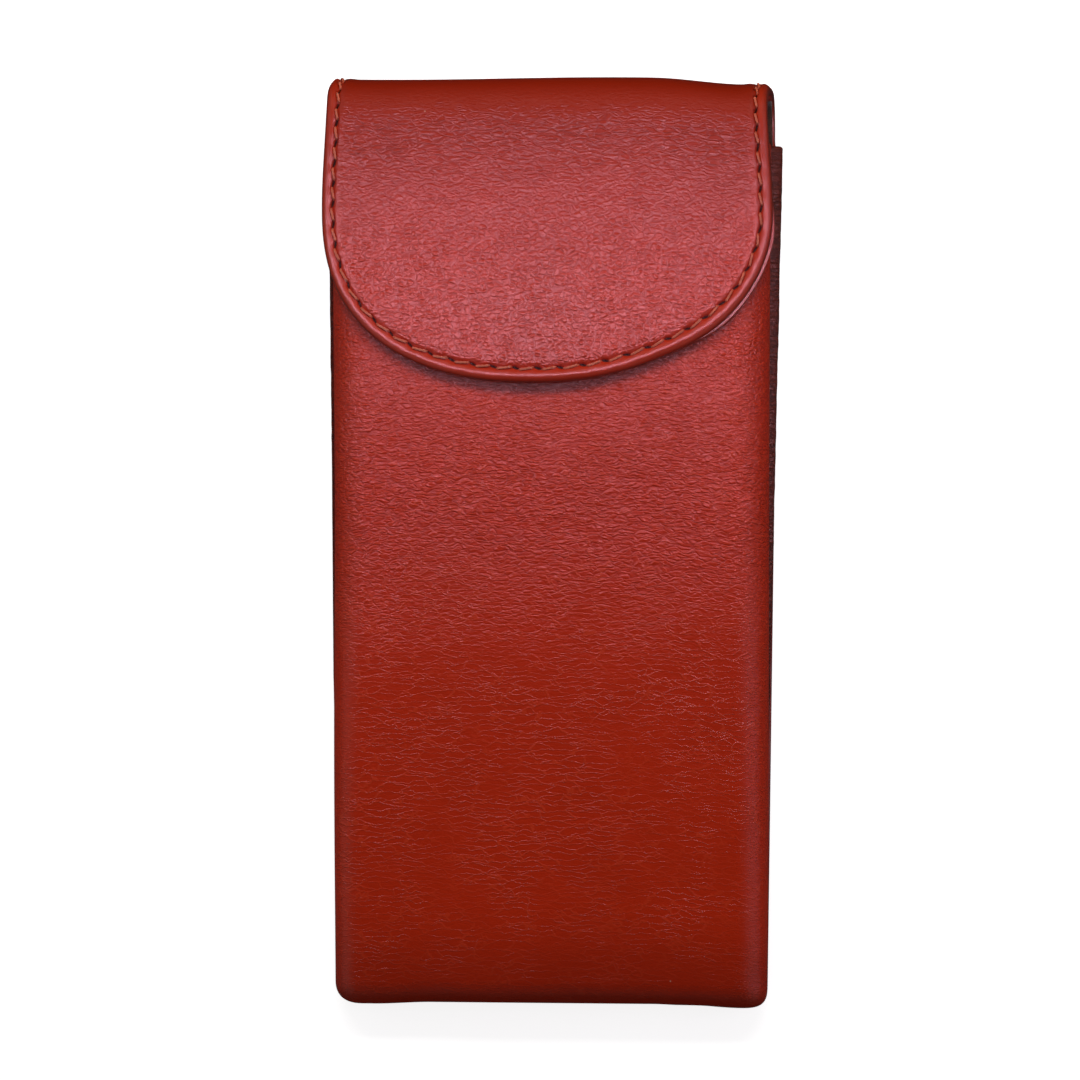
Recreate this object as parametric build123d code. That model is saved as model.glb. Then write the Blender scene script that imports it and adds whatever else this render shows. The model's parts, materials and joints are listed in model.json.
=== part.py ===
"""Soft leather pouch case for glasses, lying on its back.

Frame: millimetres, +Z up, the back face lies on z = 0, +Y points to the top fold, +X is the right
side seen from the front. The origin is at the middle of the footprint.

One outer leather piece makes the back, the strip over the top and the flap. It is split at its two
creases into three nodes, one for each body that moves. The front panel is a padded wedge-shaped
shell, joined to the back by a pleated gusset on each side. Two thin disc magnets between the
layers hold the flap shut.
"""
from build123d import *
import math
import os

os.makedirs("parts", exist_ok=True)

# ---------------------------------------------------------------- driving dimensions (mm)
Y_BOT = -85.0          # bottom edge
Y_TOP = 85.0           # outer face of the strip over the top
MOUTH_Y = 74.0         # plane of the pocket's mouth
SLOPE = 5.0            # slope of the front face, degrees
H_MOUTH = 22.6         # height of the front face at the mouth
H_BOT = H_MOUTH - (MOUTH_Y - Y_BOT) * math.tan(math.radians(SLOPE))

W_MOUTH = 41.2         # half width of the front panel at the mouth
W_BOT = 39.9           # half width of the front panel at the bottom
WB_MOUTH = 41.6        # half width of the back panel near the mouth
WB_BOT = 40.2          # half width of the back panel at the bottom
W_FOLD = 40.9          # half width of the strip over the top
W_FLAP = 41.9          # half width of the flap at its widest

R_SHOULDER_MOUTH = 8.5 # side roll of the front panel at the mouth
R_SHOULDER_BOT = 5.0   # side roll of the front panel at the bottom
R_BOTTOM_ROLL = 4.5    # roll of the front panel at the bottom edge
R_CORNER = 4.5         # plan radius of the two bottom corners

T_WRAP = 2.0           # outer leather with its turned edges
T_BOARD = 0.9          # stiffening boards, let into the wrap
T_LINING = 0.7         # lining of the wrap
T_STACK = T_WRAP + T_LINING
T_FRONT = 1.1          # front leather
T_FOAM = 1.6           # padding behind the front leather
T_FLINING = 0.6        # front lining
T_GUSSET = 1.1
T_GLINING = 0.5

R_FOLD = 7.0           # outer radius of both creases of the wrap
GAP = 0.3              # air between the closed flap and the front panel
SPLIT = 1.6            # half angle left open at each crease, degrees

FLAP_CENTRE_Y = 60.2   # where the flap's curved end starts
FLAP_DEPTH = 31.5      # length of the curved end
FLAP_POWER = 2.4       # fullness of the curved end

MAGNET_R = 6.0
MAGNET_Y = 38.5
T_FRONT_MAGNET = 1.4

STITCH_INSET = 2.3     # row of thread from the edge
STITCH_PITCH = 4.0
STITCH_LEN = 2.9
STITCH_W = 0.6

GUSSET_END_Y = -58.0   # where the gussets run out
GUSSET_MOUTH_Z = 12.8  # height of the gusset seam at the mouth
PLEAT = 5.5            # depth of the gusset's pleat at the mouth
FACING = 12.0          # depth of the facing inside the mouth

SL = math.radians(SLOPE)
ZB = T_STACK           # top of the back stack, floor of the pocket
CR_Y, CR_Z = Y_TOP - R_FOLD, R_FOLD
FLAP_BOTTOM = R_FOLD - T_STACK                       # from the front crease's centre to the flap's underside
CF_Y = Y_TOP - R_FOLD
CF_Z = H_MOUTH + (CF_Y - MOUTH_Y) * math.tan(SL) - (FLAP_BOTTOM - GAP) / math.cos(SL)
REAR_MID = 45.0                                      # middle of the rear crease, below +Y
FRONT_MID = (90.0 + SLOPE) / 2                       # middle of the front crease, above +Y

nodes = {}


def lerp(a, b, t):
    return a + (b - a) * t


def along(y):
    return (y - Y_BOT) / (MOUTH_Y - Y_BOT)


def prism_yz(pts, half=60.0):
    """Polygon in the YZ plane, extruded both ways along X."""
    face = make_face(Plane.YZ * Polyline(*pts, close=True))
    return extrude(face, half, both=True)


def slab(face, z0, z1):
    return Pos(0, 0, z0) * extrude(face, z1 - z0)


def sector(cy, cz, r0, r1, a0, a1, half):
    """Part of a ring about an X axis, from angle a0 to a1 measured from +Y towards +Z."""
    def at(r, a):
        a = math.radians(a)
        return (0, cy + r * math.cos(a), cz + r * math.sin(a))
    m = (a0 + a1) / 2
    wire = Wire([
        Edge.make_three_point_arc(at(r1, a0), at(r1, m), at(r1, a1)),
        Edge.make_line(at(r1, a1), at(r0, a1)),
        Edge.make_three_point_arc(at(r0, a1), at(r0, m), at(r0, a0)),
        Edge.make_line(at(r0, a0), at(r1, a0)),
    ])
    return extrude(Face(wire), half, both=True, dir=(1, 0, 0))


# ---------------------------------------------------------------- front shell, as nested rounded wedges
def arch_wire(y, o):
    t = along(y)
    w = lerp(W_BOT, W_MOUTH, t) - o
    h = lerp(H_BOT, H_MOUTH, t) - o / math.cos(SL)
    r = lerp(R_SHOULDER_BOT, R_SHOULDER_MOUTH, t) - o
    k = r * (1 - math.sqrt(0.5))
    return Wire([
        Edge.make_line((-w, y, -5), (-w, y, h - r)),
        Edge.make_three_point_arc((-w, y, h - r), (-w + k, y, h - k), (-w + r, y, h)),
        Edge.make_line((-w + r, y, h), (w - r, y, h)),
        Edge.make_three_point_arc((w - r, y, h), (w - k, y, h - k), (w, y, h - r)),
        Edge.make_line((w, y, h - r), (w, y, -5)),
        Edge.make_line((w, y, -5), (-w, y, -5)),
    ])


def wedge(o, y1=MOUTH_Y, y0=None):
    """Solid wedge whose outside is the front panel's outside moved inwards by o."""
    body = Solid.make_loft([arch_wire(Y_BOT - 2, o), arch_wire(MOUTH_Y + 2, o)], ruled=True)
    yb = Y_BOT + o
    r = max(R_BOTTOM_ROLL - o, 0.8)
    t0 = H_BOT + o * math.tan(SL) - o / math.cos(SL)       # height of the sloping face at yb
    cy, cz = yb + r, t0 + r * math.tan(SL) - (r - 0.06) / math.cos(SL)
    roll = [(0, cy + r * math.cos(math.radians(a)), cz + r * math.sin(math.radians(a))) for a in (180, 138, 95)]
    high = roll[2][2] + (y1 - roll[2][1]) * math.tan(SL + 0.1)
    side = Face(Wire([
        Edge.make_line((0, yb, ZB), roll[0]),
        Edge.make_three_point_arc(*roll),
        Edge.make_line(roll[2], (0, y1, high)),
        Edge.make_line((0, y1, high), (0, y1, ZB)),
        Edge.make_line((0, y1, ZB), (0, yb, ZB)),
    ]))
    wb = lerp(W_BOT, W_MOUTH, 0) - o
    plan = make_face(Polyline((-wb, yb), (wb, yb), (wb + 3, 90), (-wb - 3, 90), close=True))
    lows = plan.vertices().sort_by(Axis.Y)[0:2]
    plan = fillet(lows, R_CORNER - o if R_CORNER - o > 0.6 else 0.6)
    out = body & extrude(side, 60, both=True, dir=(1, 0, 0)) & slab(plan, -6, 60)
    if y0 is not None:
        out = out & (Pos(0, (y0 + 90) / 2, 20) * Box(200, 90 - y0, 100))
    return out


# the part of the shell that the gussets replace, below the line of the gusset seam
under_seam = prism_yz([(GUSSET_END_Y, ZB), (MOUTH_Y + 5, GUSSET_MOUTH_Z + 5 * (GUSSET_MOUTH_Z - ZB) / (MOUTH_Y - GUSSET_END_Y)),
                       (MOUTH_Y + 5, 0), (GUSSET_END_Y, 0)])

O1, O2, O3 = T_FRONT, T_FRONT + T_FOAM, T_FRONT + T_FOAM + T_FLINING
w0, w1, w2, w3 = wedge(0), wedge(O1), wedge(O2), wedge(O3)
front_leather = (w0 - w1) - under_seam
front_foam = (w1 & (Pos(0, -13.5, 20) * Box(200, 173, 100))) - w2 - under_seam       # stops 1 mm short of the mouth
lining_cut = Pos(0, MOUTH_Y - FACING / 2, 20) * Box(200, FACING, 100)
front_lining = (w2 - w3) - under_seam - lining_cut
end_cap = (w1 - w3) & (Pos(0, MOUTH_Y - 0.5, 20) * Box(200, 1.0, 100))
facing = (((w2 - w3) & (Pos(0, MOUTH_Y - FACING / 2, 20) * Box(200, FACING, 100))) + end_cap) - under_seam

# frame of the front face: origin on the face at the magnet, z along its outward normal
front_at = Pos(0, MAGNET_Y, H_MOUTH + (MAGNET_Y - MOUTH_Y) * math.tan(SL)) * Rot(SLOPE, 0, 0)
magnet_hole = front_at * Pos(0, 0, -O1 - T_FOAM / 2) * Cylinder(MAGNET_R + 0.15, T_FOAM + 0.02)
front_foam = front_foam - magnet_hole
front_magnet = front_at * Pos(0, 0, -O1 - 0.1 - T_FRONT_MAGNET / 2) * Cylinder(MAGNET_R, T_FRONT_MAGNET)

# row of thread along the mouth, in a shallow channel of the front leather
mouth_at = Pos(0, MOUTH_Y - 3.5, H_MOUTH - 3.5 * math.tan(SL)) * Rot(SLOPE, 0, 0)
front_leather = front_leather - mouth_at * Pos(0, 0, -0.2) * Box(64, 1.0, 0.45)
mouth_stitches = [mouth_at * Pos(x, 0, -0.4) * extrude(SlotOverall(STITCH_LEN, STITCH_W), 0.35)
                  for x in [STITCH_PITCH * (i - 7) for i in range(15)]]

# ---------------------------------------------------------------- gussets
def seam_z(y):
    return lerp(ZB, GUSSET_MOUTH_Z, (y - GUSSET_END_Y) / (MOUTH_Y - GUSSET_END_Y))


def gusset_wire(y, side, a, b):
    """Section of the pleated gusset between depths a and b from its outside."""
    t = along(y)
    s = seam_z(y)
    k = (s - ZB) / (GUSSET_MOUTH_Z - ZB)
    wf, wb = lerp(W_BOT, W_MOUTH, t), lerp(WB_BOT, WB_MOUTH, t) - 0.2
    zm = lerp(ZB, s, 0.52)
    d = PLEAT * k
    pts = [(wf - a, s), (wf - d - a * 0.9 - 0.2, zm), (wb - a, ZB),
           (wb - b, ZB), (wf - d - b * 0.9 - 0.2, zm), (wf - b, s)]
    return Wire.make_polygon([(side * x, y, z) for x, z in pts], close=True)


def gusset(side, a, b, y1):
    return Solid.make_loft([gusset_wire(GUSSET_END_Y + 7, side, a, b), gusset_wire(y1, side, a, b)], ruled=True)


for side, name in ((-1, "left"), (1, "right")):
    nodes[name + "_gusset"] = gusset(side, 0.0, T_GUSSET, MOUTH_Y)
    nodes[name + "_gusset_lining"] = gusset(side, T_GUSSET, T_GUSSET + T_GLINING, MOUTH_Y - 0.6)

# ---------------------------------------------------------------- back panel
def back_outline(inset=0.0, y1=CR_Y):
    pts = [(-(WB_BOT - inset), Y_BOT + inset), (WB_BOT - inset, Y_BOT + inset), (WB_MOUTH - inset, 68),
           (W_FOLD - inset, y1), (-(W_FOLD - inset), y1), (-(WB_MOUTH - inset), 68)]
    face = make_face(Polyline(*pts, close=True))
    return fillet(face.vertices().sort_by(Axis.Y)[0:2], max(R_CORNER - inset, 1.0))


back = slab(back_outline(), 0, T_WRAP) - slab(back_outline(2.6, CR_Y - 2), T_WRAP - T_BOARD, T_WRAP + 1)
groove = slab(back_outline(STITCH_INSET - 0.5, CR_Y + 5) - back_outline(STITCH_INSET + 0.5, CR_Y + 5), -1, 0.5)
back = back - (groove & (Pos(0, CR_Y - 100, 0) * Box(200, 200, 10)))
back = back + sector(CR_Y, CR_Z, FLAP_BOTTOM + T_LINING, R_FOLD, -90, -REAR_MID - SPLIT, W_FOLD)
back_board = slab(back_outline(2.75, CR_Y - 2.15), T_WRAP - T_BOARD, T_WRAP)
back_lining = slab(back_outline(0.4), T_WRAP, T_STACK) + sector(
    CR_Y, CR_Z, FLAP_BOTTOM, FLAP_BOTTOM + T_LINING, -90, -REAR_MID - SPLIT, W_FOLD - 0.4)

back_stitches = []
for side in (-1, 1):
    p0 = Vector(side * (WB_BOT - STITCH_INSET), Y_BOT + 7)
    p1 = Vector(side * (WB_MOUTH - STITCH_INSET), 68)
    n = int((p1 - p0).length // STITCH_PITCH)
    ang = math.degrees(math.atan2(p1.Y - p0.Y, p1.X - p0.X))
    for i in range(n + 1):
        p = p0 + (p1 - p0) * (i / n)
        back_stitches.append(Pos(p.X, p.Y, 0.15) * Rot(0, 0, ang) * extrude(SlotOverall(STITCH_LEN, STITCH_W), 0.35))
for i in range(-8, 9):
    back_stitches.append(Pos(i * STITCH_PITCH, Y_BOT + STITCH_INSET, 0.15) * extrude(SlotOverall(STITCH_LEN, STITCH_W), 0.35))

# ---------------------------------------------------------------- strip over the top
def strip(r0, r1, half):
    low = sector(CR_Y, CR_Z, r0, r1, -REAR_MID + SPLIT, 0, half)
    mid = Pos(0, CR_Y + (r0 + r1) / 2, (CR_Z + CF_Z) / 2) * Box(2 * half, r1 - r0, CF_Z - CR_Z)
    high = sector(CF_Y, CF_Z, r0, r1, 0, FRONT_MID - SPLIT, half)
    return low + mid + high


top_leather = strip(FLAP_BOTTOM + T_LINING, R_FOLD, W_FOLD)
top_lining = strip(FLAP_BOTTOM, FLAP_BOTTOM + T_LINING, W_FOLD - 0.4)
top_stitches = []
for side in (-1, 1):
    x = side * (W_FOLD - STITCH_INSET)
    top_leather = top_leather - Pos(x, Y_TOP, (CR_Z + CF_Z) / 2) * Box(1.0, 1.0, CF_Z - CR_Z)
    for z in (CR_Z + 2.0, CR_Z + 6.0, CR_Z + 10.0):
        top_stitches.append(Pos(x, Y_TOP - 0.5, z) * Rot(-90, 0, 0) * Rot(0, 0, 90) * extrude(SlotOverall(STITCH_LEN, STITCH_W), 0.4))

# ---------------------------------------------------------------- flap, drawn level and then turned to the slope
def flap_edge(inset, n=9):
    """Right half of the curved end, from the widest point to the tip."""
    a, b = W_FLAP - inset, FLAP_DEPTH - inset
    pts = []
    for i in range(n + 1):
        q = math.radians(90.0 * i / n)
        pts.append((a * math.cos(q) ** (2 / FLAP_POWER) if i < n else 0.0,
                    FLAP_CENTRE_Y - b * math.sin(q) ** (2 / FLAP_POWER)))
    return pts


def flap_outline(inset=0.0, y1=CF_Y):
    right = flap_edge(inset)
    left = [(-x, y) for x, y in reversed(right[:-1])]
    curve = Spline(*(right + left), tangents=((0, -1), (0, 1)))
    top = Polyline((-(W_FLAP - inset), FLAP_CENTRE_Y), (-(W_FOLD - inset), y1), (W_FOLD - inset, y1), (W_FLAP - inset, FLAP_CENTRE_Y))
    return make_face([curve, top])


to_slope = Pos(0, CF_Y, CF_Z) * Rot(SLOPE, 0, 0) * Pos(0, -CF_Y, -CF_Z)
z_top = CF_Z + R_FOLD
flap = slab(flap_outline(), z_top - T_WRAP, z_top)
flap = flap - slab(flap_outline(2.6, CF_Y - 2), z_top - T_WRAP - 1, z_top - T_WRAP + T_BOARD)
ring = slab(flap_outline(STITCH_INSET - 0.5, CF_Y + 4) - flap_outline(STITCH_INSET + 0.5, CF_Y + 4), z_top - 0.35, z_top + 1)
flap = flap - (ring & (Pos(0, CF_Y - 50, z_top) * Box(200, 100, 10)))
flap = flap + sector(CF_Y, CF_Z, FLAP_BOTTOM + T_LINING, R_FOLD, FRONT_MID - SLOPE + SPLIT, 90, W_FOLD)
flap_lining = slab(flap_outline(-0.4), z_top - T_STACK, z_top - T_WRAP) + sector(
    CF_Y, CF_Z, FLAP_BOTTOM, FLAP_BOTTOM + T_LINING, FRONT_MID - SLOPE + SPLIT, 90, W_FOLD - 0.4)
board = slab(flap_outline(2.75, CF_Y - 2.15), z_top - T_WRAP, z_top - T_WRAP + T_BOARD)
board = board - Pos(0, MAGNET_Y, z_top - T_WRAP + T_BOARD / 2) * Cylinder(MAGNET_R + 0.15, T_BOARD + 0.1)
flap_magnet = Pos(0, MAGNET_Y, z_top - T_WRAP + T_BOARD / 2) * Cylinder(MAGNET_R, T_BOARD)

# the row of thread follows the outline at STITCH_INSET
path = []
for side in (1, -1):
    pts = [(W_FOLD - STITCH_INSET, CF_Y)] + flap_edge(STITCH_INSET, 60)
    path.append([Vector(side * x, y) for x, y in pts])
row = path[0] + list(reversed(path[1][:-1]))
total = sum((b - a).length for a, b in zip(row, row[1:]))
count = round(total / STITCH_PITCH)
flap_stitches = []
for i in range(count):
    target, walked = (i + 0.5) * total / count, 0.0
    for a, b in zip(row, row[1:]):
        step = (b - a).length
        if walked + step >= target:
            p = a + (b - a) * ((target - walked) / step)
            ang = math.degrees(math.atan2(b.Y - a.Y, b.X - a.X))
            flap_stitches.append(Pos(p.X, p.Y, z_top - 0.35) * Rot(0, 0, ang) * extrude(SlotOverall(STITCH_LEN, STITCH_W), 0.5))
            break
        walked += step

nodes.update({
    "back_leather": back,
    "back_board": back_board,
    "back_lining": back_lining,
    "back_stitches": back_stitches,
    "front_leather": front_leather,
    "front_foam": front_foam,
    "front_lining": front_lining,
    "front_mouth_facing": facing,
    "front_magnet": front_magnet,
    "mouth_stitches": mouth_stitches,
    "top_strip_leather": top_leather,
    "top_strip_lining": top_lining,
    "top_strip_stitches": top_stitches,
    "flap_leather": to_slope * flap,
    "flap_board": to_slope * board,
    "flap_lining": to_slope * flap_lining,
    "flap_magnet": to_slope * flap_magnet,
    "flap_stitches": [to_slope * s for s in flap_stitches],
})

for name, shape in nodes.items():
    if isinstance(shape, list):
        solids = [s for one in shape for s in one.solids()]
    else:
        solids = list(shape.solids())
    out = solids[0] if len(solids) == 1 else Compound(children=solids)
    out.label = name
    export_step(out, "parts/" + name + ".step")

print("crease axes: rear", round(CR_Y + R_FOLD * math.cos(math.radians(REAR_MID)), 4),
      round(CR_Z - R_FOLD * math.sin(math.radians(REAR_MID)), 4),
      "front", round(CF_Y + R_FOLD * math.cos(math.radians(FRONT_MID)), 4),
      round(CF_Z + R_FOLD * math.sin(math.radians(FRONT_MID)), 4))
print("heights: bottom", round(H_BOT, 3), "flap top", round(CF_Z + R_FOLD, 3), "stitches", len(flap_stitches))
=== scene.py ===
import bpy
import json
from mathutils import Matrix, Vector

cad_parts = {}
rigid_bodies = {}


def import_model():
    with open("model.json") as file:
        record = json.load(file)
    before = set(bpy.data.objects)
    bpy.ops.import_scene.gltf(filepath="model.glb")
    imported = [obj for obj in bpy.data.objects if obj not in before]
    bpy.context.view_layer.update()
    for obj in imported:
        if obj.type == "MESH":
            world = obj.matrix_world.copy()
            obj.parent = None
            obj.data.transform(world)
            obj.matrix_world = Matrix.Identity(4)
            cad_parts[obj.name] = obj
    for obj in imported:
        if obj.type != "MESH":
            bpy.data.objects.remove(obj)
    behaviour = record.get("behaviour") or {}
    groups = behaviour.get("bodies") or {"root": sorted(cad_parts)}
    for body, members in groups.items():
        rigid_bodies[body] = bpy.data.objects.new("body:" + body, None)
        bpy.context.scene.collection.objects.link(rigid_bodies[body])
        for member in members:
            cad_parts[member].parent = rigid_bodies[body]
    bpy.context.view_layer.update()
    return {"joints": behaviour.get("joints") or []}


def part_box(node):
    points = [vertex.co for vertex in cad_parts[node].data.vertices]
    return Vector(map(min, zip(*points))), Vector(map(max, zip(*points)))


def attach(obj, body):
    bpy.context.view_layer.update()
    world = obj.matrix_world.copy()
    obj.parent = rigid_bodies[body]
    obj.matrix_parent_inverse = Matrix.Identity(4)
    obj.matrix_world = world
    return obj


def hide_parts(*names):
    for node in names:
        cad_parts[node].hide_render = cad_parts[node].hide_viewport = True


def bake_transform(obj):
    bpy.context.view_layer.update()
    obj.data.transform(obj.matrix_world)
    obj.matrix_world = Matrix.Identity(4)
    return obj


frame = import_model()

import json
import math

import bmesh
import bpy
import numpy as np
from mathutils import Matrix, Vector, noise

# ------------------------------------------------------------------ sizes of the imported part, mm
def nbox(node):
    lo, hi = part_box(node)
    return np.array(lo) * 1000.0, np.array(hi) * 1000.0


STRIP_LO, STRIP_HI = nbox("top_strip_leather")
FRONT_LO, FRONT_HI = nbox("front_leather")
BACK_LO, BACK_HI = nbox("back_leather")
FLAP_LO, FLAP_HI = nbox("flap_leather")
GUS_LO, GUS_HI = nbox("right_gusset")
JOINT = {j["name"]: j for j in frame["joints"]}
REAR = np.array(JOINT["flap_rear_fold"]["pos_m"]) * 1000.0
FRONTJ = np.array(JOINT["flap_front_fold"]["pos_m"]) * 1000.0

SLOPE = math.radians(JOINT["flap_front_fold"]["range_deg"][1] - 90.0)
Y_TOP, Y_BOT, MOUTH_Y = STRIP_HI[1], FRONT_LO[1], FRONT_HI[1]
H_MOUTH = FRONT_HI[2]
H_BOT = H_MOUTH - (MOUTH_Y - Y_BOT) * math.tan(SLOPE)
T_WRAP, T_LIN = 2.0, 0.7
T_STACK = T_WRAP + T_LIN
ZB = T_STACK
R_FOLD = 7.0
C_Y = Y_TOP - R_FOLD
CF_Z = FRONTJ[2] - R_FOLD * math.sin(math.radians((90 + math.degrees(SLOPE)) / 2))
Z_MID = (R_FOLD + CF_Z) / 2
W_MOUTH, W_BOT = 41.2, 40.3
WB_MOUTH, WB_BOT, W_FOLD, W_FLAP = 41.6, 40.2, 40.9, 41.9
TIP_Y, SHOULDER_Y = 28.7, 60.2
GUSSET_END_Y, GUSSET_MOUTH_Z, PLEAT = -58.0, GUS_HI[2], 5.5
PITCH = 4.15
STITCH_IN = 2.4

# lean and sag of the soft walls
LEAN = -0.55            # the front panel sits this far to the left of the back
CROWN = 0.9             # the front face is this much lower at its shoulders than in the middle


def smooth(a, b, x):
    t = np.clip((np.asarray(x, float) - a) / (b - a), 0, 1)
    return t * t * (3 - 2 * t)


def lerp(a, b, t):
    return a + (b - a) * t


def along(y):
    return (y - Y_BOT) / (MOUTH_Y - Y_BOT)


def tuck_left(x, y):
    """The left side leans in a little towards the top."""
    return 0.85 * smooth(0.0, -40.0, x) * smooth(-75.0, 15.0, y)


def n3(p, s, seed=0.0):
    """Smooth noise at points p (N,3) in mm, with features about s mm across."""
    out = np.empty(len(p))
    for i, q in enumerate(p):
        out[i] = noise.noise(Vector((q[0] / s + seed, q[1] / s + 1.7 * seed, q[2] / s - seed)))
    return out


def dip(x):
    """The right third of the case sits a little lower than the rest, from top edge to bottom edge."""
    return 1.05 * smooth(19.0, 36.0, x)


# ------------------------------------------------------------------ meshes
def make(name, verts, faces, mat, attrs=None, sharp=40, merge=2e-6):
    me = bpy.data.meshes.new(name)
    verts = np.asarray(verts, float).reshape(-1, 3) * 0.001
    me.from_pydata(verts.tolist(), [], [list(map(int, f)) for f in faces])
    for key, val in (attrs or {}).items():
        val = np.asarray(val, np.float32)
        if val.ndim == 2:
            a = me.attributes.new(key, "FLOAT_VECTOR", "POINT")
            a.data.foreach_set("vector", val.ravel())
        else:
            a = me.attributes.new(key, "FLOAT", "POINT")
            a.data.foreach_set("value", val)
    bm = bmesh.new()
    bm.from_mesh(me)
    bmesh.ops.remove_doubles(bm, verts=bm.verts, dist=merge)
    bmesh.ops.dissolve_degenerate(bm, edges=bm.edges, dist=merge / 4)
    bmesh.ops.recalc_face_normals(bm, faces=bm.faces)
    bm.to_mesh(me)
    bm.free()
    me.polygons.foreach_set("use_smooth", [True] * len(me.polygons))
    if sharp:
        me.set_sharp_from_angle(angle=math.radians(sharp))
    o = bpy.data.objects.new(name, me)
    bpy.context.scene.collection.objects.link(o)
    me.materials.append(mat)
    return o


def grid_quads(nr, nc, base=0, flip=False):
    r, c = np.meshgrid(np.arange(nr - 1), np.arange(nc - 1), indexing="ij")
    a = (base + r * nc + c).ravel()
    q = np.stack([a, a + 1, a + nc + 1, a + nc], 1)
    return q[:, ::-1] if flip else q


def grid_normals(P):
    dr = np.gradient(P, axis=0)
    dc = np.gradient(P, axis=1)
    n = np.cross(dc, dr)
    n /= np.maximum(np.linalg.norm(n, axis=2, keepdims=True), 1e-9)
    return n


def shell(name, outer, inner, mat, pat, inset=None, hole_and_shadow_mask=None, round_edge=0.35, sharp=50):
    """A closed sheet between two grids of points, with a rounded edge all round."""
    nr, nc = outer.shape[:2]
    V = [outer.reshape(-1, 3), inner.reshape(-1, 3)]
    F = [grid_quads(nr, nc), grid_quads(nr, nc, nr * nc, True)]
    ring = [(0, c) for c in range(nc)] + [(r, nc - 1) for r in range(1, nr)] + \
           [(nr - 1, c) for c in range(nc - 2, -1, -1)] + [(r, 0) for r in range(nr - 2, 0, -1)]
    step = {0: (1, 0), nr - 1: (-1, 0)}
    rows = []
    for frac in (0.2, 0.5, 0.8):
        pts = []
        for r, c in ring:
            dr = 1 if r == 0 else (-1 if r == nr - 1 else 0)
            dc = 1 if c == 0 else (-1 if c == nc - 1 else 0)
            a, b = outer[r, c], inner[r, c]
            inn = outer[r + dr, c + dc] - a
            ln = np.linalg.norm(inn)
            out = -inn / ln if ln > 1e-6 else np.zeros(3)
            t = np.linalg.norm(b - a)
            pts.append(a + (b - a) * frac + out * t * round_edge * math.sin(math.pi * frac))
        rows.append(np.array(pts))
    base = 2 * nr * nc
    n = len(ring)
    V += rows
    oi = np.array([r * nc + c for r, c in ring])
    ids = [oi, base + np.arange(n), base + n + np.arange(n), base + 2 * n + np.arange(n), nr * nc + oi]
    for A, B in zip(ids, ids[1:]):
        F.append(np.stack([A, B, np.roll(B, -1), np.roll(A, -1)], 1))
    V = np.concatenate(V)
    F = np.concatenate(F)
    patv = np.concatenate([pat.reshape(-1, 3)] * 2 + [pat.reshape(-1, 3)[oi]] * 3) * 0.001
    ins = inset.ravel() if inset is not None else np.full(nr * nc, 20.0)
    insv = np.concatenate([ins, ins, ins[oi], ins[oi], ins[oi]])
    pt = hole_and_shadow_mask.ravel() if hole_and_shadow_mask is not None else np.zeros(nr * nc)
    shade_mask_v = np.concatenate([pt, np.zeros(nr * nc), pt[oi] * 0, pt[oi] * 0, pt[oi] * 0])
    return make(name, V, F, mat, {"pat": patv, "inset": insv, "hole_and_shadow_mask": shade_mask_v}, sharp)


# ------------------------------------------------------------------ the wrap: back, strip over the top, flap
DV = 0.05


def profile(turn, first, radius, length):
    """Turning angle of the wrap's outside against v, from the middle of the strip. Returns the table of v and the
    angle.
    turn is how far the strip turns at its crease, first the straight before it."""
    v = np.arange(0, length + DV, DV)
    arc = radius * turn
    grow = 2.2
    a, b = first - grow, first + arc + grow
    t = np.clip((v - a) / (b - a), 0, 1)
    # a rounded bump of curvature, softer than a plain arc
    ang = turn * (t - np.sin(2 * math.pi * t) / (2 * math.pi) * 0.55)
    return v, ang


def upper_profile():
    turn = math.pi / 2 + SLOPE
    length = 76.0

    def run(first):
        v, ang = profile(turn, first, R_FOLD, length)
        d = np.stack([-np.sin(ang), np.cos(ang)], 1)           # direction in (Y, Z), up at first
        p = np.concatenate([[[Y_TOP, Z_MID]], [Y_TOP, Z_MID] + np.cumsum((d[:-1] + d[1:]) / 2 * DV, 0)])
        return v, p, d

    lo, hi = 0.0, 12.0
    want_z = lambda y: CF_Z + R_FOLD / math.cos(SLOPE) + (y - C_Y) * math.tan(SLOPE)
    for _ in range(40):
        mid = (lo + hi) / 2
        v, p, d = run(mid)
        if p[-1, 1] > want_z(p[-1, 0]):
            hi = mid
        else:
            lo = mid
    return v, p, np.stack([d[:, 1], -d[:, 0]], 1)


def lower_profile():
    turn = math.pi / 2
    length = Z_MID + (Y_TOP - Y_BOT) + 4

    def run(first):
        v, ang = profile(turn, first, R_FOLD, length)
        d = np.stack([-np.sin(ang), -np.cos(ang)], 1)
        p = np.concatenate([[[Y_TOP, Z_MID]], [Y_TOP, Z_MID] + np.cumsum((d[:-1] + d[1:]) / 2 * DV, 0)])
        return v, p, d

    lo, hi = 0.0, 12.0
    for _ in range(40):
        mid = (lo + hi) / 2
        v, p, d = run(mid)
        if p[-1, 1] < 0:
            hi = mid
        else:
            lo = mid
    return v, p, np.stack([-d[:, 1], d[:, 0]], 1)


UP, LOW = upper_profile(), lower_profile()


def v_of_y(prof, y):
    """v where the profile's flat part passes Y = y."""
    v, p, _ = prof
    k = np.searchsorted(-p[:, 0], -y)
    return float(v[min(k, len(v) - 1)])


def flap_sag(x, v):
    """How far the flap drops below its middle line, along its normal."""
    w = smooth(2.0, 20.0, v)
    s = CROWN * (np.abs(x) / 33.0) ** 2
    s = s + 0.5 * smooth(34, 42, np.abs(x)) * smooth(16, 36, v)
    s = s - 0.3 * smooth(UP_TIP - 4.0, UP_TIP, v)
    return s * w


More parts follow.
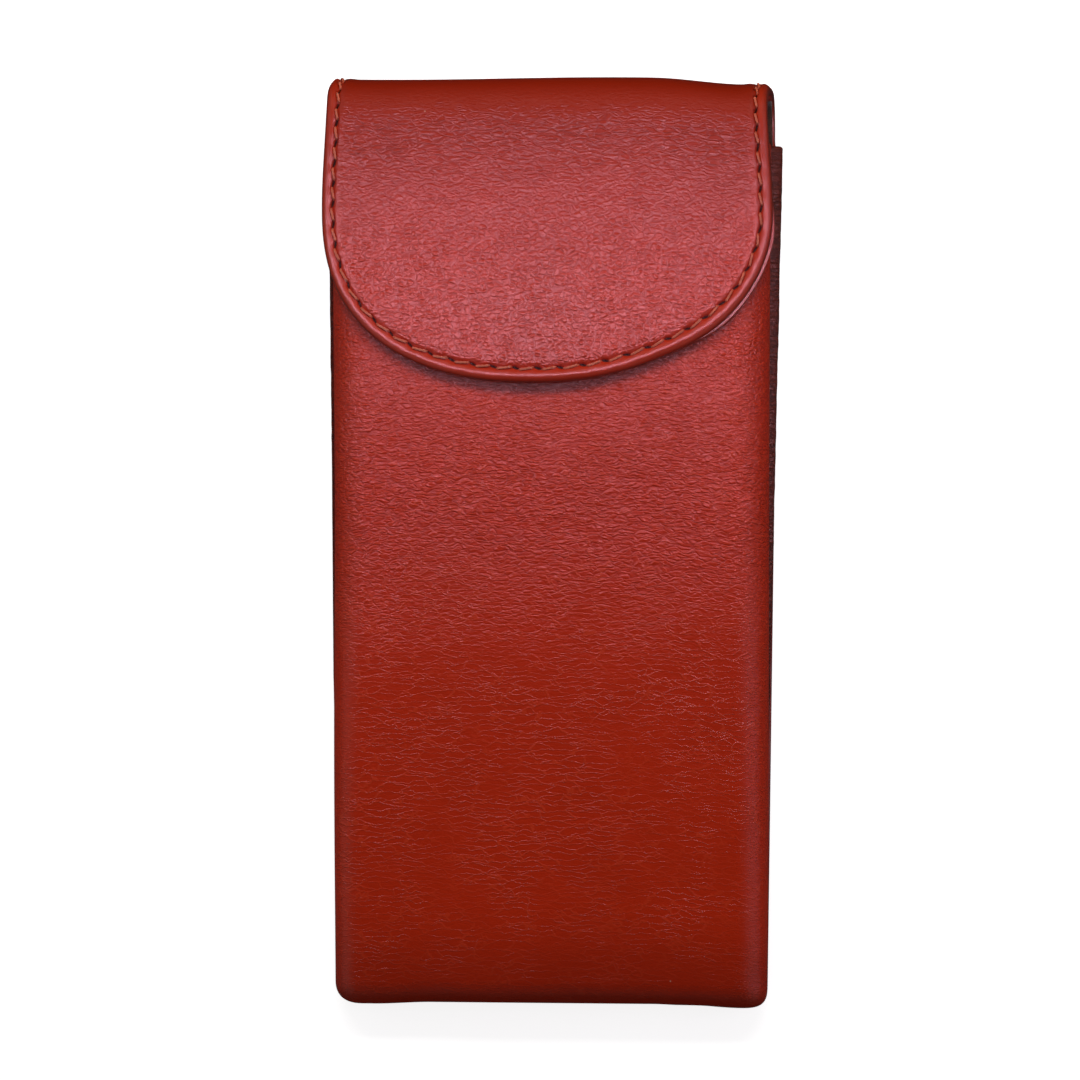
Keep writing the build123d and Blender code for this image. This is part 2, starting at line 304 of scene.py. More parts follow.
def wrap_point(prof, x, v, n, upper):
    vt, p, nm = prof
    x, v, n = np.broadcast_arrays(np.asarray(x, float), np.asarray(v, float), np.asarray(n, float))
    y = np.interp(v, vt, p[:, 0])
    z = np.interp(v, vt, p[:, 1])
    ny = np.interp(v, vt, nm[:, 0])
    nz = np.interp(v, vt, nm[:, 1])
    wave = 0.16 * np.sin(x / 11.0 + 0.6)
    if upper:
        # soft unevenness of the strip and of the flap
        n = n - flap_sag(x, v) + wave * smooth(26, 8, v) - 0.12 * smooth(10, 30, v) * np.sin(x / 17.0 + v / 13.0)
        shift = LEAN * smooth(0, 12, v)
    else:
        n = n + wave * smooth(8, 0, v)
        shift = 0.0
    yy = y + n * ny
    if upper:
        shift = shift + tuck_left(x, yy) * smooth(0, 7, v)
    return np.stack([x + shift, yy - dip(x), z + n * nz], -1)


UP_FOLD = v_of_y(UP, C_Y)
UP_SH = v_of_y(UP, SHOULDER_Y)
UP_TIP = v_of_y(UP, TIP_Y)
LOW_END = v_of_y(LOW, Y_BOT + 0.02)
LOW_FOLD = v_of_y(LOW, C_Y)
TIP_X = -1.1


def resample(pts, n):
    pts = np.asarray(pts, float)
    d = np.concatenate([[0], np.cumsum(np.linalg.norm(np.diff(pts, axis=0), axis=1))])
    s = np.linspace(0, d[-1], n)
    return np.stack([np.interp(s, d, pts[:, k]) for k in range(pts.shape[1])], 1)


def flap_outline(side, grow=0.0, n=400):
    """From the middle of the strip to the flap's tip, on one side, as (x, v)."""
    power = 2.02 if side > 0 else 2.42
    a = W_FLAP - side * TIP_X + grow
    q = np.linspace(0, math.pi / 2, n)
    c, s = np.cos(q), np.sin(q)
    c[-1] = 0
    x = TIP_X + side * a * np.abs(c) ** (2 / power)
    v = UP_SH + (UP_TIP - UP_SH + grow) * s ** (2 / power)
    pre_v = np.linspace(0, UP_SH, 200)[:-1]
    pre_x = side * (W_FOLD + grow + (W_FLAP - W_FOLD) * smooth(UP_FOLD - 4, UP_SH, pre_v))
    return np.stack([np.concatenate([pre_x, x]), np.concatenate([pre_v, v])], 1)


def lining_outline(side, n=400):
    """The flap's lining stops just inside the leather, but stands a little proud of it low on the right."""
    p = flap_outline(side, -0.15, n)
    if side > 0:
        k = smooth(UP_SH - 6, UP_SH + 6, p[:, 1]) * smooth(22.0, 34.0, p[:, 0])
        p = p + k[:, None] * np.stack([0.75 * p[:, 0] / 42.0, 0.75 * smooth(UP_SH, UP_TIP, p[:, 1])], 1)
    return p


def back_outline(side, grow=0.0, n=120):
    r = 4.2
    v1 = LOW_END + grow
    v = np.linspace(0, v1 - r, 500)
    y = np.interp(v, LOW[0], LOW[1][:, 0])
    w = np.where(y > 68, lerp(WB_MOUTH, W_FOLD, np.clip((y - 68) / 8, 0, 1)), lerp(WB_BOT, WB_MOUTH, (y - Y_BOT) / (68 - Y_BOT)))
    w = np.where(v < LOW_FOLD, W_FOLD, w) + grow
    q = np.linspace(0, math.pi / 2, n)[1:]
    xc = w[-1] - r
    arc = np.stack([xc + r * np.cos(q), v1 - r + r * np.sin(q)], 1)
    run = np.stack([np.linspace(xc, 0, 100)[1:], np.full(99, v1)], 1)
    pts = np.concatenate([np.stack([w, v], 1), arc, run])
    pts[:, 0] *= side
    return pts


def both_sides(outline, n):
    """The whole outline from the right end to the left end, with its inward normals and running length."""
    right, left = resample(outline(1), n), resample(outline(-1), n)
    P = np.concatenate([right, left[::-1][1:]])
    tan = np.gradient(P, axis=0)
    tan[0], tan[-1] = (0, 1), (0, -1)
    tan /= np.linalg.norm(tan, axis=1, keepdims=True)
    nor = np.stack([-tan[:, 1], tan[:, 0]], 1)
    return P, nor, np.concatenate([[0], np.cumsum(np.linalg.norm(np.diff(P, axis=0), axis=1))]), right


INNER = [0.06, 0.13, 0.2, 0.28, 0.36, 0.44, 0.52, 0.6, 0.68, 0.76, 0.84, 0.92, 1.0]


def wrap_shell(name, prof, upper, outline, n_half, mat, top_n, bot_n, edge_r, bot_r, deep, step=0.2, relief=None, end=25.0, flank=None):
    """Closed sheet. top_n and bot_n give its two faces, as heights over the wrap's outside, from the inset and v."""
    P0, nor, s, right = both_sides(outline, n_half)
    J = len(P0)
    # the centre line, whose points the two sides share
    vr = right[:, 1]
    v_end = vr.max() - end
    k0 = int(np.argmax(vr > v_end - 18))
    vm = vr.copy()
    t = np.linspace(0, 1, len(vr) - k0)
    vm[k0:] = vr[k0] + (v_end - vr[k0]) * (1 - (1 - t) ** 2)
    M = np.stack([np.zeros(J), np.concatenate([vm, vm[::-1][1:]])], 1)
    inner = P0 + nor * deep

    rows = []                                           # (xy, height, inset, on the top face)
    for f in INNER[::-1]:
        xy = inner + (M - inner) * f
        ins = np.full(J, deep + 20 * f)
        rows.append((xy, top_n(ins, xy[:, 1]), ins, 1))
    tops = list(np.arange(edge_r, min(deep, 5.0), step)) + [i for i in (5.0, 5.6, 6.4, 7.2, 8.0) if i <= deep]
    for i in tops[::-1]:
        xy = P0 + nor * i
        ins = np.full(J, float(i))
        rows.append((xy, top_n(ins, xy[:, 1]), ins, 1))
    e = top_n(np.full(J, edge_r), P0[:, 1])
    for q in np.linspace(0, math.pi / 2, 8)[1:]:
        i = edge_r * (1 - math.sin(q))
        rows.append((P0 + nor * i, e - edge_r * (1 - math.cos(q)), np.full(J, i), 1))
    low = bot_n(np.full(J, bot_r), P0[:, 1])
    for q in np.linspace(0, math.pi / 2, 4):
        i = bot_r * (1 - math.cos(q))
        rows.append((P0 + nor * i, low + bot_r * (1 - math.sin(q)), np.full(J, i), 0))
    for i in [k for k in (1.2, 2.0, 2.4, 2.7, 3.2, 4.5, 6.0, 8.0) if bot_r < k <= deep]:
        xy = P0 + nor * i
        ins = np.full(J, float(i))
        rows.append((xy, bot_n(ins, xy[:, 1]), ins, 0))
    for f in INNER:
        xy = inner + (M - inner) * f
        ins = np.full(J, deep + 20 * f)
        rows.append((xy, bot_n(ins, xy[:, 1]), ins, 0))
    R = len(rows)
    V, PAT = np.zeros((R, J, 3)), np.zeros((R, J, 3))
    INS, PIT = np.zeros((R, J)), np.zeros((R, J))
    for k, (xy, n, ins, on_top) in enumerate(rows):
        dn, hole_and_shadow_mask = relief(xy, s, ins, on_top) if relief is not None else (0, 0)
        V[k] = wrap_point(prof, xy[:, 0], xy[:, 1], n + dn, upper)
        PAT[k] = np.stack([xy[:, 0], xy[:, 1], np.zeros(J)], 1)
        INS[k] = ins
        PIT[k] = hole_and_shadow_mask
    faces = [list(f) for f in grid_quads(R, J)]
    for col, flip in ((0, False), (J - 1, True)):       # the two ends, across the thickness
        idx = list(np.arange(R) * J + col)
        a, b = 0, R - 1
        while b - a > 1:
            f = [idx[a], idx[a + 1], idx[b - 1], idx[b]]
            faces.append(f[::-1] if flip else f)
            a, b = a + 1, b - 1
    faces = [f for f in (list(dict.fromkeys(map(int, f))) for f in faces) if len(f) > 2]
    return make(name, V.reshape(-1, 3), faces, mat, {"pat": PAT.reshape(-1, 3) * 0.001, "inset": INS.ravel(), "hole_and_shadow_mask": PIT.ravel()}, sharp=48)


# ------------------------------------------------------------------ rows of thread
def row_inset(v):
    """The row of thread runs a little further from the edge round the flap's end than along its sides."""
    return 2.15 + 0.4 * smooth(UP_SH, UP_TIP - 6, v)


class Row:
    """Stitches along an outline. They slant across the row, and the holes between them slant the other way."""

    def __init__(self, outline, inset, pitch, length, lean=0.24, seed=7, s0=0.0, n=1500):
        P0, nor, _, _ = both_sides(outline, n)
        P = P0 + nor * inset(P0[:, 1])[:, None]
        s = np.concatenate([[0], np.cumsum(np.linalg.norm(np.diff(P, axis=0), axis=1))])
        self.P, self.nor, self.s, self.lean = P, nor, s, lean
        count = np.concatenate([[0], np.cumsum(np.diff(s) / ((pitch(P[1:, 1]) + pitch(P[:-1, 1])) / 2))])
        total = int(round(count[-1]))
        count *= total / count[-1]
        rng = np.random.default_rng(seed)
        self.mid = np.interp(np.arange(total) + 0.5, count, s) + rng.normal(0, 0.07, total)
        self.len = np.interp(self.mid, s, length(P[:, 1])) + rng.normal(0, 0.09, total)
        self.jit = rng.normal(0, 0.04, total)
        self.gaps = []
        for k in range(total - 1):
            a, b = self.mid[k] + self.len[k] / 2, self.mid[k + 1] - self.len[k + 1] / 2
            self.gaps.append(((a + b) / 2, (b - a) / 2, (self.jit[k] + self.jit[k + 1]) / 2))

    def at(self, s, off):
        x = np.interp(s, self.s, self.P[:, 0]) + np.interp(s, self.s, self.nor[:, 0]) * off
        v = np.interp(s, self.s, self.P[:, 1]) + np.interp(s, self.s, self.nor[:, 1]) * off
        return x, v

    def pits(self, half_w=0.33, grow=0.06):
        """The holes between the stitches, as a function of points (x, v): 1 in a hole, 0 away from it."""
        C, A, H = [], [], []
        for m, h, j in self.gaps:
            a = np.array(self.at(m - h, -self.lean - 0.02 + j))
            b = np.array(self.at(m + h, self.lean + 0.02 + j))
            L = np.linalg.norm(b - a)
            C.append((a + b) / 2), A.append((b - a) / L), H.append(L / 2 + grow)

        def f(xy):
            best = np.zeros(len(xy))
            for c, a, h in zip(C, A, H):
                near = (np.abs(xy[:, 0] - c[0]) < 2.2) & (np.abs(xy[:, 1] - c[1]) < 2.2)
                if near.any():
                    d = xy[near] - c
                    p, q = d @ a, d[:, 0] * -a[1] + d[:, 1] * a[0]
                    best[near] = np.maximum(best[near], np.exp(-(np.abs(p) / h) ** 4 - (np.abs(q) / (half_w * (1.15 - 0.5 * np.clip(np.abs(p) / h, 0, 1)))) ** 3))
            return best
        return f


def threads(name, runs, mat, radius=0.145, plies=2):
    """Short lengths of twisted thread. runs: list of (centre line (N,3), up (N,3), along (N,), number)."""
    V, F, U, start, ns = [], [], [], 0, 12
    for c, up, w, k in runs:
        nr = len(c)
        tan = np.gradient(c, axis=0)
        tan /= np.linalg.norm(tan, axis=1, keepdims=True)
        side = np.cross(tan, up)
        side /= np.linalg.norm(side, axis=1, keepdims=True)
        upv = np.cross(side, tan)
        phi = np.linspace(0, 2 * math.pi, ns, endpoint=False)
        for a in range(nr):
            fat = radius * (1 + 0.18 * np.cos(plies * (phi - 4.2 * w[a] + k)))
            V.append(c[a] + side[a] * (np.cos(phi) * fat)[:, None] * 1.15 + upv[a] * (np.sin(phi) * fat)[:, None] * 0.9)
            U.append(np.stack([phi / (2 * math.pi), np.full(ns, w[a]), np.full(ns, float(k))], 1))
        V.append(np.array([c[0], c[-1]]))
        U.append(np.array([[0, w[0], k], [0, w[-1], k]], float))
        for a in range(nr - 1):
            for b in range(ns):
                F.append([start + a * ns + b, start + a * ns + (b + 1) % ns, start + (a + 1) * ns + (b + 1) % ns, start + (a + 1) * ns + b])
        for b in range(ns):
            F.append([start + nr * ns, start + (b + 1) % ns, start + b])
            F.append([start + nr * ns + 1, start + (nr - 1) * ns + b, start + (nr - 1) * ns + (b + 1) % ns])
        start += nr * ns + 2
    return make(name, np.concatenate(V), F, mat, {"pat": np.concatenate(U)}, sharp=0)


def row_runs(row, place, rise, dive=0.7, keep=lambda x, v: True, nr=19, first=0):
    """Centre lines of a row's stitches. place(x, v, height) gives the point, rise(x, v) the height of the thread's middle."""
    out = []
    for k, (m, L, jit) in enumerate(zip(row.mid, row.len, row.jit)):
        x0, v0 = row.at(m, 0.0)
        if not keep(float(x0), float(v0)):
            continue
        t = np.linspace(-1, 1, nr)
        w = t * (L / 2 + 0.12)
        x, v = row.at(m + w, -row.lean * t + jit)
        h = rise(float(x0), float(v0)) + 0.1 * (1 - t * t) - dive * (np.clip(np.abs(t) - 0.74, 0, 1) / 0.26) ** 1.5
        c = place(x, v, h)
        up = place(x, v, np.full(nr, 1.0)) - place(x, v, np.zeros(nr))
        out.append((c, up, w, first + k))
    return out


# ------------------------------------------------------------------ the front panel's outside
N_CORE, N_ROLL, N_SIDE = 110, 14, 9
N_LONG, N_ROLL_B, N_SIDE_B = 230, 12, 6
R_SH_M, R_SH_B, R_ROLL = 8.2, 5.2, 4.6


def seam_z(y):
    return np.where(y > GUSSET_END_Y, lerp(ZB, GUSSET_MOUTH_Z, np.clip((y - GUSSET_END_Y) / (MOUTH_Y - GUSSET_END_Y), 0, 1)), ZB) - 0.15


def front_grid():
    cols = []
    for i in range(N_SIDE, 0, -1):
        cols.append((-1, 1 + i / N_SIDE, 0.0))
    for i in range(N_ROLL, 0, -1):
        cols.append((-1, i / N_ROLL, 0.0))
    for i in range(N_CORE + 1):
        cols.append((0, 0.0, -1 + 2 * i / N_CORE))
    for i in range(1, N_ROLL + 1):
        cols.append((1, i / N_ROLL, 0.0))
    for i in range(1, N_SIDE + 1):
        cols.append((1, 1 + i / N_SIDE, 0.0))
    rows = []
    for i in range(N_LONG + 1):
        rows.append((0.0, 1 - i / N_LONG))
    for i in range(1, N_ROLL_B + 1):
        rows.append((i / N_ROLL_B, 0.0))
    for i in range(1, N_SIDE_B + 1):
        rows.append((1 + i / N_SIDE_B, 0.0))
    P = np.zeros((len(rows), len(cols), 3))
    PAT = np.zeros_like(P)
    INS = np.zeros(P.shape[:2])
    for r, (ey, fy) in enumerate(rows):
        y0 = lerp(Y_BOT + R_ROLL, MOUTH_Y, fy)
        t = along(y0)
        w = lerp(W_BOT, W_MOUTH, t)
        rs = lerp(R_SH_B, R_SH_M, t)
        top = lerp(H_BOT, H_MOUTH, t)
        for c, (sx, ex, fx) in enumerate(cols):
            core_x = (w - rs) * (sx if sx else fx)
            z = top - CROWN * (abs(core_x) / 33.0) ** 2 * lerp(0.55, 1.0, t)
            rho = max(ex, ey)
            if rho == 0:
                P[r, c] = (core_x, y0, z)
            else:
                if ey == 0:
                    phi = 0.0
                elif ex == 0:
                    phi = 90.0
                elif ex >= ey:
                    phi = 45.0 * ey / ex
                else:
                    phi = 90 - 45.0 * ex / ey
                p = math.radians(phi)
                power = 2.5 if sx < 0 else 3.4
                if 0 < phi < 90 and sx != 0:
                    cx, cy = math.cos(p) ** (2 / power), math.sin(p) ** (2 / power)
                else:
                    cx, cy = (1.0, 0.0) if phi == 0 else (0.0, 1.0)
                # soft roll: a little longer than a quarter circle at the top
                a = min(rho, 1.0) * math.pi / 2
                hor, ver = math.sin(a), 1 - math.cos(a)
                rv = lerp(rs, R_ROLL, phi / 90)
                x = core_x + (sx or 0) * rs * cx * hor
                y = y0 - R_ROLL * cy * hor
                zz = z - rv * ver
                if rho > 1:
                    f = rho - 1
                    floor = float(seam_z(y)) if phi < 45 else ZB - 0.15
                    floor = lerp(floor, ZB - 0.15, smooth(0, 60, phi)) if phi > 0 else floor
                    zz = lerp(zz, floor, f)
                    tuck = 0.55 * f * f
                    x -= (sx or 0) * tuck * cx
                    y += tuck * cy
                P[r, c] = (x, y, zz)
            ux = core_x + sx * (min(ex, 1) * rs * 1.57 + max(ex - 1, 0) * 5)
            uy = y0 - (min(ey, 1) * R_ROLL * 1.57 + max(ey - 1, 0) * 4)
            PAT[r, c] = (ux, uy + 300, 0)
            INS[r, c] = 20.0
    return P, PAT, INS, rows, cols


def front_soften(P):
    """Lean, left-side tuck, right-hand dip and a small drop of the bottom edge, the same for every layer of the front
    panel.
    """
    flat = P.reshape(-1, 3).copy()
    x, y, z = flat.T
    hgt = np.clip((z - ZB) / 16.0, 0, 1)
    out = flat.copy()
    out[:, 0] += LEAN * smooth(0.0, 0.6, hgt) + tuck_left(x, y) * smooth(0.0, 0.5, hgt)
    out[:, 0] += 0.32 * smooth(0.0, -38.0, x)
    out[:, 1] -= dip(x) + (0.42 * smooth(30.0, 22.0, x) + 0.40 * smooth(-22.0, -33.0, x)) * smooth(-66.0, -82.0, P.reshape(-1, 3)[:, 1])
    return out.reshape(P.shape)


# ================================================================== materials
class Mat:
    """A small helper for node materials."""

    def __init__(self, name):
        self.m = bpy.data.materials.new(name)
        self.m.use_nodes = True
        self.t = self.m.node_tree
        self.t.nodes.clear()
        self.out = self.t.nodes.new("ShaderNodeOutputMaterial")
        self.bsdf = self.t.nodes.new("ShaderNodeBsdfPrincipled")
        self.t.links.new(self.bsdf.outputs[0], self.out.inputs[0])

    def _set(self, sock, val):
        if isinstance(val, bpy.types.NodeSocket):
            self.t.links.new(val, sock)
        elif val is not None:
            sock.default_value = val

    def attr(self, name, out="Fac"):
        n = self.t.nodes.new("ShaderNodeAttribute")
        n.attribute_name = name
        return n.outputs[out]

    def math(self, op, a, b=None, c=None, clamp=False):
        n = self.t.nodes.new("ShaderNodeMath")
        n.operation = op
        n.use_clamp = clamp
        for k, val in enumerate((a, b, c)):
            self._set(n.inputs[k], val)
        return n.outputs[0]

    def vec(self, op, a, b=None):
        n = self.t.nodes.new("ShaderNodeVectorMath")
        n.operation = op
        self._set(n.inputs[0], a)
        if op == "SCALE":
            self._set(n.inputs["Scale"], b)
        elif b is not None:
            self._set(n.inputs[1], b)
        return n.outputs[0]

    def turn(self, v, loc=(0, 0, 0), rot=0.0, scale=(1, 1, 1)):
        n = self.t.nodes.new("ShaderNodeMapping")
        self._set(n.inputs["Vector"], v)
        n.inputs["Location"].default_value = loc
        n.inputs["Rotation"].default_value = (0, 0, rot)
        n.inputs["Scale"].default_value = scale
        return n.outputs[0]

    def noise(self, v, scale, detail=2.0, rough=0.5, dist=0.0, out="Fac"):
        n = self.t.nodes.new("ShaderNodeTexNoise")
        self._set(n.inputs["Vector"], v)
        n.inputs["Scale"].default_value = scale
        n.inputs["Detail"].default_value = detail
        n.inputs["Roughness"].default_value = rough
        n.inputs["Distortion"].default_value = dist
        return n.outputs[out]

    def cells(self, v, scale, feature="DISTANCE_TO_EDGE", rand=1.0, out=0):
        n = self.t.nodes.new("ShaderNodeTexVoronoi")
        n.feature = feature
        self._set(n.inputs["Vector"], v)
        n.inputs["Scale"].default_value = scale
        n.inputs["Randomness"].default_value = rand
        return n.outputs[out]

    def wave(self, v, scale, dist=0.0, direction="X"):
        n = self.t.nodes.new("ShaderNodeTexWave")
        n.bands_direction = direction
        self._set(n.inputs["Vector"], v)
        n.inputs["Scale"].default_value = scale
        n.inputs["Distortion"].default_value = dist
        n.inputs["Detail"].default_value = 2.0
        n.inputs["Detail Scale"].default_value = 1.5
        return n.outputs["Fac"]

    def ramp(self, f, a, b, lo=0.0, hi=1.0, smooth=True):
        n = self.t.nodes.new("ShaderNodeMapRange")
        n.interpolation_type = "SMOOTHSTEP" if smooth else "LINEAR"
        self._set(n.inputs["Value"], f)
        for key, val in (("From Min", a), ("From Max", b), ("To Min", lo), ("To Max", hi)):
            n.inputs[key].default_value = val
        return n.outputs[0]

    def mix(self, f, a, b, blend="MIX"):
        n = self.t.nodes.new("ShaderNodeMix")
        n.data_type = "RGBA"
        n.blend_type = blend
        n.clamp_result = False
        self._set(n.inputs[0], f)
        for k, val in ((6, a), (7, b)):
            if isinstance(val, bpy.types.NodeSocket):
                self.t.links.new(val, n.inputs[k])
            else:
                n.inputs[k].default_value = (*val, 1.0) if len(val) == 3 else val
        return n.outputs[2]

    def bump(self, h, dist, strength=1.0, normal=None):
        n = self.t.nodes.new("ShaderNodeBump")
        n.inputs["Distance"].default_value = dist
        self._set(n.inputs["Strength"], strength)
        self._set(n.inputs["Height"], h)
        if normal is not None:
            self.t.links.new(normal, n.inputs["Normal"])
        return n.outputs[0]

    def done(self, color, rough, normal=None, **fixed):
        self._set(self.bsdf.inputs["Base Color"], color)
        self._set(self.bsdf.inputs["Roughness"], rough)
        if normal is not None:
            self.t.links.new(normal, self.bsdf.inputs["Normal"])
        for key, val in fixed.items():
            self.bsdf.inputs[key].default_value = val
        return self.m


LEATHER = (0.56, 0.026, 0.0035)
LEATHER_DEEP = (0.33, 0.010, 0.0015)
LEATHER_EDGE = (0.44, 0.024, 0.003)
LEATHER_DYE = (0.14, 0.012, 0.004)
LEATHER_CREASE_HIGHLIGHT = (0.80, 0.085, 0.03)
LEATHER_FOLD_SHADE = (0.27, 0.0125, 0.001)
GRAIN = 0.00015


def leather(name, slant=0.0, pebble_at=None, calm_at=None, fold_at=None, foot_at=None, seed=0.0, gloss=1.0, dye=LEATHER_DYE, base=LEATHER, deep=LEATHER_DEEP, strength=1.0):
    """Smooth-grained calf leather. pebble_at: (from, to) along the pattern's length, where slanting creases
    turn into round pebbles. calm_at: (from, to), where the grain fades out."""
    M = Mat(name)
    mm = M.vec("SCALE", M.attr("pat", "Vector"), 1000.0)
    mm = M.vec("ADD", mm, (seed * 37.0, seed * 91.0, 0.0))
    y = M.t.nodes.new("ShaderNodeSeparateXYZ")
    M.t.links.new(M.vec("SCALE", M.attr("pat", "Vector"), 1000.0), y.inputs[0])
    y = y.outputs[1]
    wob = M.vec("SCALE", M.vec("SUBTRACT", M.noise(mm, 0.5, 1.0, 0.5, out="Color"), (0.5, 0.5, 0.5)), 0.9)
    warped = M.vec("ADD", mm, wob)
    even = M.vec("ADD", mm, M.vec("SCALE", wob, 0.3))
    big = M.noise(mm, 0.045, 2.0)
    mid = M.noise(M.turn(mm, (5, 9, 2)), 0.2, 3.0)

    # round pebbles
    peb = M.ramp(M.cells(M.turn(even, rot=slant, scale=(0.85, 1.15, 1)), 1.0), 0.0, 0.25)
    peb2 = M.ramp(M.cells(M.turn(even, (3, 8, 0), rot=slant, scale=(0.85, 1.2, 1)), 1.25, "F1"), 0.75, 0.0)
    # long slanting creases
    cr = M.ramp(M.cells(M.turn(warped, rot=slant, scale=(0.45, 1.25, 1)), 1.1), 0.0, 0.2)
    cr2 = M.ramp(M.cells(M.turn(warped, (7, 1, 0), rot=slant - 0.25, scale=(0.5, 1.3, 1)), 1.5, "F1"), 0.75, 0.0)
    # far-apart wavy creases of the calm part
    wide_wob = M.vec("SCALE", M.vec("SUBTRACT", M.noise(mm, 0.24, 3.0, 0.55, out="Color"), (0.5, 0.5, 0.5)), 1.6)
    wv = M.ramp(M.cells(M.turn(M.vec("ADD", warped, wide_wob), (2, 5, 0), rot=slant * 0.4, scale=(0.19, 1.05, 1)), 0.95), 0.0, 0.09)
    pore = M.noise(warped, 5.5, 2.0, 0.6)

    if pebble_at:
        k = M.ramp(M.math("ADD", y, M.math("MULTIPLY", M.math("SUBTRACT", mid, 0.5), 12.0)), pebble_at[0], pebble_at[1])
    else:
        k = M.ramp(mid, 0.35, 0.65)
    a = M.math("ADD", M.math("MULTIPLY", peb, 0.42), M.math("MULTIPLY", peb2, 0.58))
    b = M.math("ADD", M.math("MULTIPLY", cr, 0.45), M.math("MULTIPLY", cr2, 0.55))
    grain = M.math("ADD", M.math("MULTIPLY", a, k), M.math("MULTIPLY", b, M.math("SUBTRACT", 1.0, k)))
    # some creases are faint and some are strong
    part = M.ramp(M.noise(M.turn(mm, (11, 3, 5)), 0.33, 2.0), 0.28, 0.66, 0.8, 1.0)
    edge_calm = M.ramp(M.math("ADD", M.attr("inset"), M.math("MULTIPLY", M.math("SUBTRACT", mid, 0.5), 1.2)), 2.3, 4.2, 0.08, 1.0)
    calm = edge_calm
    wavy = 0.0
    if calm_at:
        ease = M.ramp(M.math("ADD", y, M.math("MULTIPLY", M.math("SUBTRACT", big, 0.5), 36.0)), calm_at[0], calm_at[1], 1.0, 0.16)
        calm = M.math("MULTIPLY", calm, ease)
        wavy = M.math("MULTIPLY", M.math("SUBTRACT", 1.0, wv), M.ramp(M.noise(M.turn(mm, (4, 4, 4)), 0.12, 2.0), 0.3, 0.6, 0.35, 1.0))
        wavy = M.math("MULTIPLY", wavy, M.ramp(M.math("ADD", y, M.math("MULTIPLY", big, 20.0)), calm_at[2] - 6.0, calm_at[2] + 40.0, 0.12, 1.0))
    if fold_at:
        calm = M.math("MULTIPLY", calm, M.ramp(y, fold_at[0] - 1.0, fold_at[1] + 2.0, 0.1, 1.0))
    amount = M.math("MULTIPLY", part, calm)
    h = M.math("ADD", M.math("MULTIPLY", grain, amount), M.math("MULTIPLY", pore, 0.12))
    if calm_at:
        h = M.math("ADD", h, M.math("MULTIPLY", wavy, 0.28))
    n1 = M.bump(M.math("ADD", M.noise(mm, 0.11, 2.0), M.math("MULTIPLY", mid, 0.3)), 0.0004, 0.6)
    n2 = M.bump(h, GRAIN * strength, 1.0, n1)

    # colour: darker between the pebbles, painted highlight along the wavy creases, mottled by patches,
    # plainer and browner along the turned edge, and painted shade over the fold, towards the foot, in the stitch holes
    # and below the flap's edge
    low = M.math("MULTIPLY", M.math("SUBTRACT", 1.0, grain), amount)
    col = M.mix(M.ramp(low, 0.35, 1.0, 0.0, 0.45), base, deep)
    if calm_at:
        # painted highlight: the wavy creases are painted a lighter colour, standing in for the light their flanks catch
        col = M.mix(M.math("MULTIPLY", wavy, 0.26), col, LEATHER_CREASE_HIGHLIGHT)
    patch = M.ramp(M.math("ADD", M.math("MULTIPLY", big, 0.7), M.math("MULTIPLY", mid, 0.3)), 0.3, 0.7, 0.96, 1.04)
    col = M.mix(1.0, col, M.comb(patch, patch, patch), "MULTIPLY")
    # painted shade: darker over a long run towards the fold and browner at the fold itself, standing in for the fold
    # turning away from the light
    if fold_at:
        painted_shade_ramp = M.ramp(y, fold_at[0] - 4.0, fold_at[1] + 32.0, 0.60, 1.0)
        col = M.mix(1.0, col, M.comb(painted_shade_ramp, painted_shade_ramp, painted_shade_ramp), "MULTIPLY")
        col = M.mix(M.ramp(y, fold_at[0], fold_at[1], 0.7, 0.0), col, LEATHER_FOLD_SHADE)
    # painted shade: darker towards the foot of the front panel, standing in for the bottom roll turning away from the
    # light
    if foot_at:
        painted_shade_ramp = M.ramp(y, foot_at[0], foot_at[1], 1.0, 0.62)
        col = M.mix(1.0, col, M.comb(painted_shade_ramp, painted_shade_ramp, painted_shade_ramp), "MULTIPLY")
    edge = M.ramp(M.attr("inset"), 1.9, 3.1, 0.7, 0.0)
    col = M.mix(edge, col, LEATHER_EDGE)
    rim = M.ramp(M.attr("inset"), 0.0, 0.5, 0.85, 0.0)
    col = M.mix(rim, col, dye)
    # painted shade: near-black in the stitch holes and, on the front panel, in the band below the flap's edge
    col = M.mix(M.ramp(M.attr("hole_and_shadow_mask"), 0.25, 0.95), col, (0.05, 0.009, 0.003))
    # a few pale specks of dust
    speck = M.ramp(M.cells(M.turn(mm, (1, 2, 0)), 0.085, "F1"), 0.010, 0.018, 0.55, 0.0)
    col = M.mix(speck, col, (0.62, 0.38, 0.3))
    rough = M.math("ADD", M.math("ADD", M.math("MULTIPLY", low, 0.2), 0.35), M.math("MULTIPLY", M.math("SUBTRACT", mid, 0.5), 0.04))
    rough = M.math("ADD", rough, M.math("MULTIPLY", M.attr("hole_and_shadow_mask"), 0.4), clamp=True)
    M.t.links.new(n2, M.bsdf.inputs["Coat Normal"])
    return M.done(col, rough, n2, **{"Specular IOR Level": 0.42 * gloss, "Coat Weight": 0.2 * gloss, "Coat Roughness": 0.22, "Coat IOR": 1.45})


def _comb(self, x, y, z):
    n = self.t.nodes.new("ShaderNodeCombineXYZ")
    for k, val in enumerate((x, y, z)):
        self._set(n.inputs[k], val)
    return n.outputs[0]


Mat.comb = _comb


